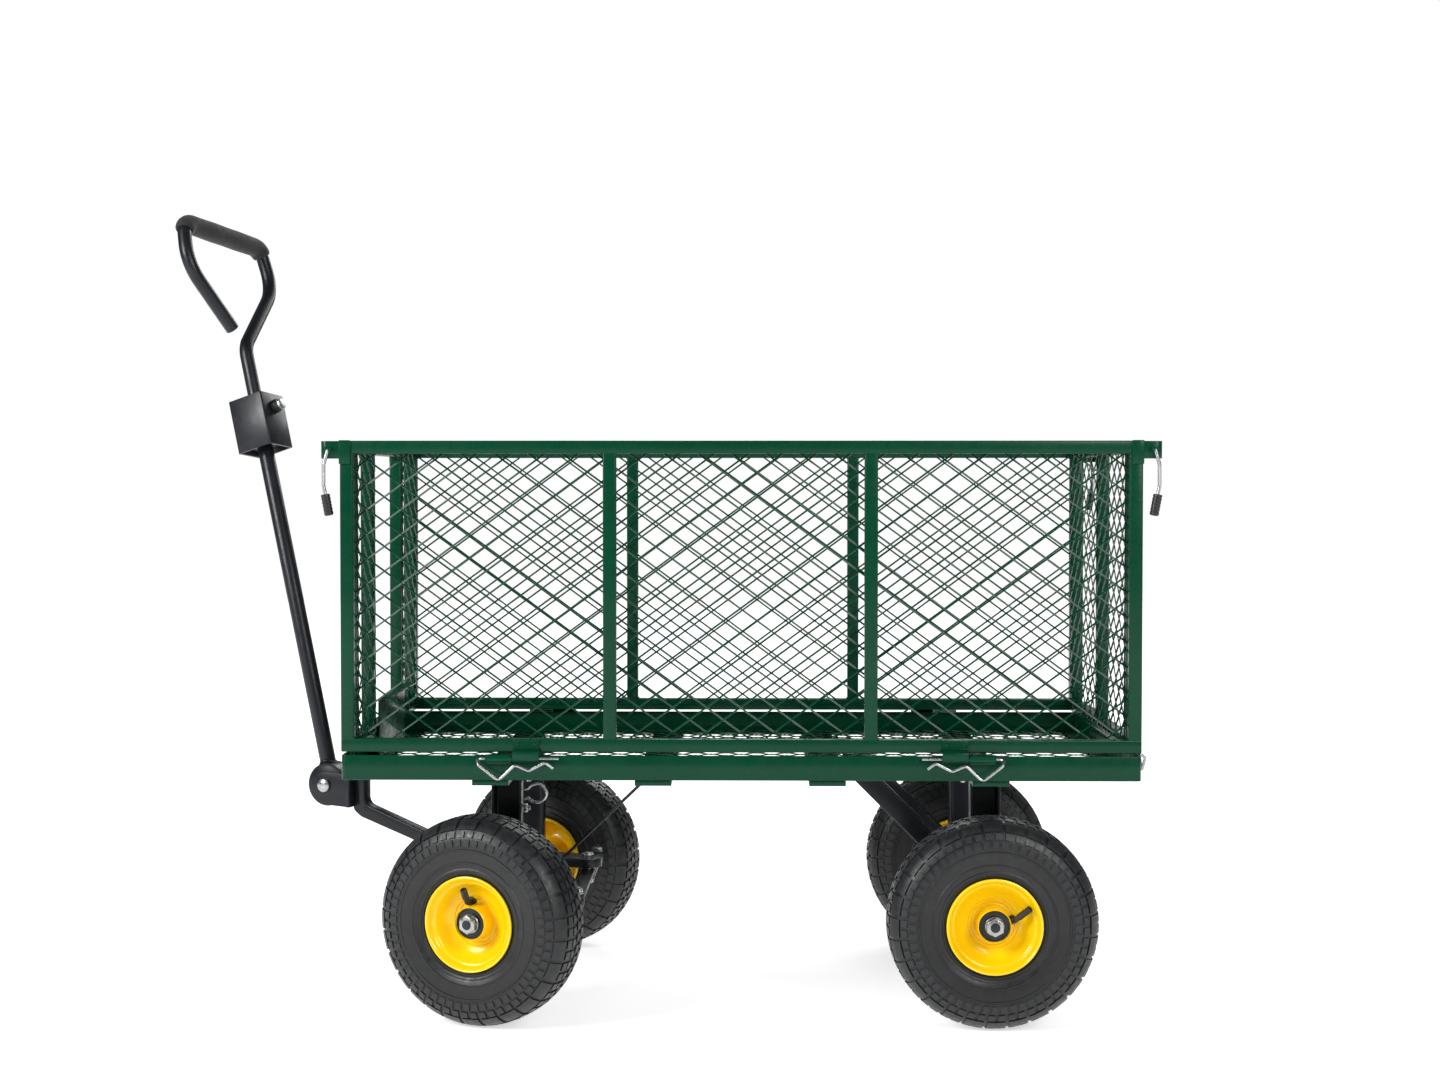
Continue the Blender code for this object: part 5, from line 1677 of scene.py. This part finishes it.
@dataclass
class PullHandle:
    """The handle: boss and rod, square coupling box, bent upper tube and its foam grip."""

    rod_r: float = 0.0110
    boss_r: float = 0.0295
    boss_half: float = 0.0165
    box_half: float = 0.028
    box_low: float = 0.488
    box_top: float = 0.566
    loop_r: float = 0.0098
    neck: float = 0.646
    wide: tuple[float, float] = (0.104, 0.754)
    shoulder: float = 0.094
    grip_z: float = 0.8185

    def lower(self) -> None:
        """Makes the boss and the rod."""
        boss = lathe([(-self.boss_half, 0.0066), (-self.boss_half, 0.0240),
                      (-self.boss_half + 0.0012, 0.0262),
                      (-self.boss_half + 0.0012, self.boss_r - 0.0008),
                      (-self.boss_half + 0.002, self.boss_r),
                      (self.boss_half - 0.002, self.boss_r), (self.boss_half - 0.0012, self.boss_r - 0.0008),
                      (self.boss_half - 0.0012, 0.0262), (self.boss_half, 0.0240), (self.boss_half, 0.0066)],
                      56)
        stem = settle(cylinder((0, 0, 0.0220), (0, 0, 0.5550), self.rod_r, 0.001, 48),
                      Matrix.Rotation(-SIDE_LEAN, 4, "X"))
        collar = settle(tube([(self.rod_r * 1.02 * math.cos(math.tau * k / 32),
                               self.rod_r * 1.02 * math.sin(math.tau * k / 32),
                               0.0292 - 0.0026 * math.cos(2 * math.tau * k / 32))
                              for k in range(33)], 0.0020, 3), Matrix.Rotation(-SIDE_LEAN, 4, "X"))
        deliver("handle_lower_rod", [boss, stem, collar], "handle", Finish.BLACK, ["handle_rod"], PIVOT)

    def box(self) -> None:
        """Makes the coupling box, open below, from a cube with its bottom removed and its walls thickened."""
        bpy.ops.object.select_all(action="DESELECT")
        wall = 0.003
        bpy.ops.mesh.primitive_cube_add(size=1, location=(0, 0, (self.box_low + self.box_top) / 2),
                                        scale=(2 * self.box_half, 2 * self.box_half,
                                               self.box_top - self.box_low))
        shell = settle(bpy.context.object)
        with editing(shell):
            pick(shell, "edges", lambda edge: abs(edge.verts[0].co.z - edge.verts[1].co.z) > 0.01)
            bpy.ops.mesh.bevel(offset=0.0022, segments=3, affect="EDGES")
            pick(shell, "faces", lambda face: face.normal.z < -0.9)
            bpy.ops.mesh.delete(type="FACE")
            mended()
        modified(shell, "SOLIDIFY", thickness=wall, offset=-1.0, use_even_offset=True)
        rounded_off(shell, 0.0007, 2, 50)
        plug = block((-0.0195, 0.0195), (-0.0195, 0.0195), (self.box_low + 0.006, self.box_low + 0.012),
                     0.0012)
        deliver("coupling_box_shell", [shell, plug], "handle", Finish.BLACK, ["coupling_box"], HANDLE)
        bolt_z = self.box_top - 0.020
        spacer = lathe([(self.box_half, 0.0), (self.box_half, 0.0092), (self.box_half + 0.001, 0.0100),
                        (self.box_half + 0.0070, 0.0100), (self.box_half + 0.0080, 0.0090),
                        (self.box_half + 0.0080, 0.0)], 32, closed=False)
        turn = Matrix.Translation((0, 0, bolt_z)) @ Matrix.Rotation(-math.pi / 2, 4, "Z")
        deliver("coupling_spacer", spacer, "handle", Finish.PLASTIC, (), HANDLE @ turn)
        head = HexFastener(0.0150, 0.0062, 0.0).build((self.box_half + 0.0079, 0, bolt_z), (1, 0, 0))
        shank = cylinder((self.rod_r, 0, bolt_z), (self.box_half + 0.009, 0, bolt_z), 0.0050, 0.0006, 24)
        deliver("coupling_box_bolt", [head, shank], "handle", Finish.ZINC, ["coupling_bolt"], HANDLE)

    def path(self) -> list[Vector]:
        """The upper tube's middle line, from the box to its free end."""
        y, z = self.wide
        points = [(0, 0, self.box_top - 0.002), (0, 0, self.neck), (0, y, z), (0, self.shoulder, self.grip_z),
                  (0, -self.shoulder, self.grip_z), (0, -y, z), (0, -0.023, self.neck + 0.0239)]
        return corners(points, [0.038, 0.062, 0.021, 0.021, 0.062], 10)

    def upper(self) -> None:
        """Makes the bent tube, whose free end is cut off and hollow, and the grip over its top."""
        path = self.path()
        loop = tube(path, self.loop_r, 9)
        with editing(loop):
            end = path[-1]
            pick(loop, "faces", lambda face: (face.calc_center_median() - end).length < 0.0008)
            bpy.ops.mesh.inset(thickness=0.0018)
            inward = (path[-2] - end).normalized() * 0.018
            bpy.ops.mesh.extrude_region_move(TRANSFORM_OT_translate={"value": inward})
            mended()
        ring = lathe([(-0.0010, self.loop_r - 0.001), (-0.0010, self.loop_r + 0.0012),
                      (0.0008, self.loop_r + 0.0022),
                      (0.0022, self.loop_r + 0.0006), (0.0022, self.loop_r - 0.001)], 36)
        settle(ring, Matrix.Translation((0, 0, self.box_top)) @ Matrix.Rotation(math.pi / 2, 4, "X"))
        deliver("upper_handle_tube", [loop, ring], "handle", Finish.BLACK, ["upper_handle"], HANDLE)
        top = [point for point in path if point.z > self.grip_z - 0.0125]
        fine = []
        for before, after in zip(top, top[1:]):
            parts = max(1, round((after - before).length / 0.005))
            fine += [before.lerp(after, part / parts) for part in range(parts)]
        fine.append(top[-1])

        def swell(share: float) -> float:
            """The grip's thickness along it: soft ends, and a slight belly where it is held."""
            end = min(share, 1 - share)
            rise = min(1.0, end / 0.03)
            crown = 0.04 * math.sin(math.pi * share) + 0.012 * math.sin(23 * share)
            return 0.84 + 0.12 * math.sqrt(rise) + crown

        grip = tube(fine, 0.0142, 8, swell)
        deliver("foam_grip", grip, "handle", Finish.FOAM, ["handle_grip"], HANDLE)

    def build(self) -> None:
        """Makes the handle's pieces."""
        self.lower()
        self.box()
        self.upper()


# ---------------------------------------------------------------- studio


@dataclass
class Studio:
    """Pale floor, soft lamps and the camera."""

    lens: float = 53.75
    eye: tuple[float, float, float] = (0.1626, -2.9034, 0.6722)
    yaw: float = 0.0164
    pitch: float = 0.0274
    floor_half: float = 9.0
    ambient: float = 0.16
    floor_glow: float = 0.60

    def floor(self) -> None:
        """Makes the floor: a pale plane that brightens away from the cart, into the backdrop."""
        bpy.ops.object.select_all(action="DESELECT")
        bpy.ops.mesh.primitive_plane_add(size=2 * self.floor_half, location=(0, 0, -0.0002))
        floor = bpy.context.object
        floor.name = "floor"
        graph = Graph("pale_floor")
        graph.wire("Base Color", graph.mix(graph.spread(graph.noise(3.0, 3.0), 0.3, 0.7, 0, 1),
                                           (0.86, 0.86, 0.86),
                                           (0.88, 0.88, 0.88)))
        graph.wire("Roughness", 0.9)
        graph.wire("Specular IOR Level", 0.1)
        graph.wire("Emission Color", (1.0, 1.0, 1.0))
        distance = graph.node("ShaderNodeVectorMath", operation="LENGTH")
        graph.tree.links.new(graph.place, distance.inputs[0])
        graph.wire("Emission Strength", graph.spread(distance.outputs["Value"], 1.1, 3.2, self.floor_glow,
                                                     1.05))
        floor.data.materials.append(graph.material)

    def lamp(self, name: str, place: Point, power: float, size: float, aim: Point = (0, 0, 0.4)) -> None:
        """Adds a soft square lamp.

        Args:
            name: Its name.
            place: Where it hangs.
            power: Its power in watts.
            size: Its side.
            aim: What it points at.
        """
        light = bpy.data.lights.new(name, "AREA")
        light.energy = power
        light.size = size
        obj = bpy.data.objects.new(name, light)
        obj.location = place
        obj.rotation_euler = (Vector(aim) - Vector(place)).to_track_quat("-Z", "Y").to_euler()
        bpy.context.scene.collection.objects.link(obj)

    def build(self) -> None:
        """Sets the studio up."""
        scene = bpy.context.scene
        self.floor()
        world = bpy.data.worlds.new("studio")
        world.use_nodes = True
        tree = world.node_tree
        backdrop = tree.nodes["Background"]
        backdrop.inputs["Color"].default_value = (1.0, 1.0, 1.0, 1.0)
        backdrop.inputs["Strength"].default_value = 1.0
        ambient = tree.nodes.new("ShaderNodeBackground")
        ambient.inputs["Color"].default_value = (0.96, 0.98, 1.0, 1.0)
        ambient.inputs["Strength"].default_value = self.ambient
        blend = tree.nodes.new("ShaderNodeMixShader")
        tree.links.new(tree.nodes.new("ShaderNodeLightPath").outputs["Is Camera Ray"], blend.inputs["Fac"])
        tree.links.new(ambient.outputs["Background"], blend.inputs[1])
        tree.links.new(backdrop.outputs["Background"], blend.inputs[2])
        tree.links.new(blend.outputs["Shader"], tree.nodes["World Output"].inputs["Surface"])
        scene.world = world
        scene.view_settings.view_transform = "Standard"
        self.lamp("key", (-2.4, -1.9, 1.9), 95, 1.3)
        self.lamp("fill", (2.0, -2.6, 2.0), 55, 1.4)
        self.lamp("rim", (0.6, 2.4, 2.2), 45, 1.8)
        camera = bpy.data.cameras.new("camera")
        camera.lens = self.lens
        camera.sensor_width = 36
        obj = bpy.data.objects.new("camera", camera)
        obj.location = self.eye
        obj.rotation_euler = (math.pi / 2 - self.pitch, 0, self.yaw)
        scene.collection.objects.link(obj)
        scene.camera = obj


def main() -> None:
    """Makes every sub-assembly in order."""
    logging.basicConfig(level=logging.INFO, format="%(name)s: %(message)s")
    Studio().build()
    Deck().build()
    Basket().build()
    RearAxle().build()
    FrontAxle().build()
    Steering().build()
    PullHandle().build()
    wheel = Wheel()
    slanted, upright = ((-0.0235, 0.0045), (-0.0430, 0.0225)), ((0.0075, 0.0235), (0.0075, 0.0425))
    wheel.build("rear_near", "wheel_rear_near", "chassis", "wheel_rear_near_spin", -1, slanted)
    wheel.build("rear_far", "wheel_rear_far", "chassis", "wheel_rear_far_spin", 1, upright)
    wheel.build("front_near", "wheel_front_near", "knuckle_near_body", "wheel_front_near_spin", -1, upright)
    wheel.build("front_far", "wheel_front_far", "knuckle_far_body", "wheel_front_far_spin", 1, slanted)


if __name__ == "__main__":
    main()
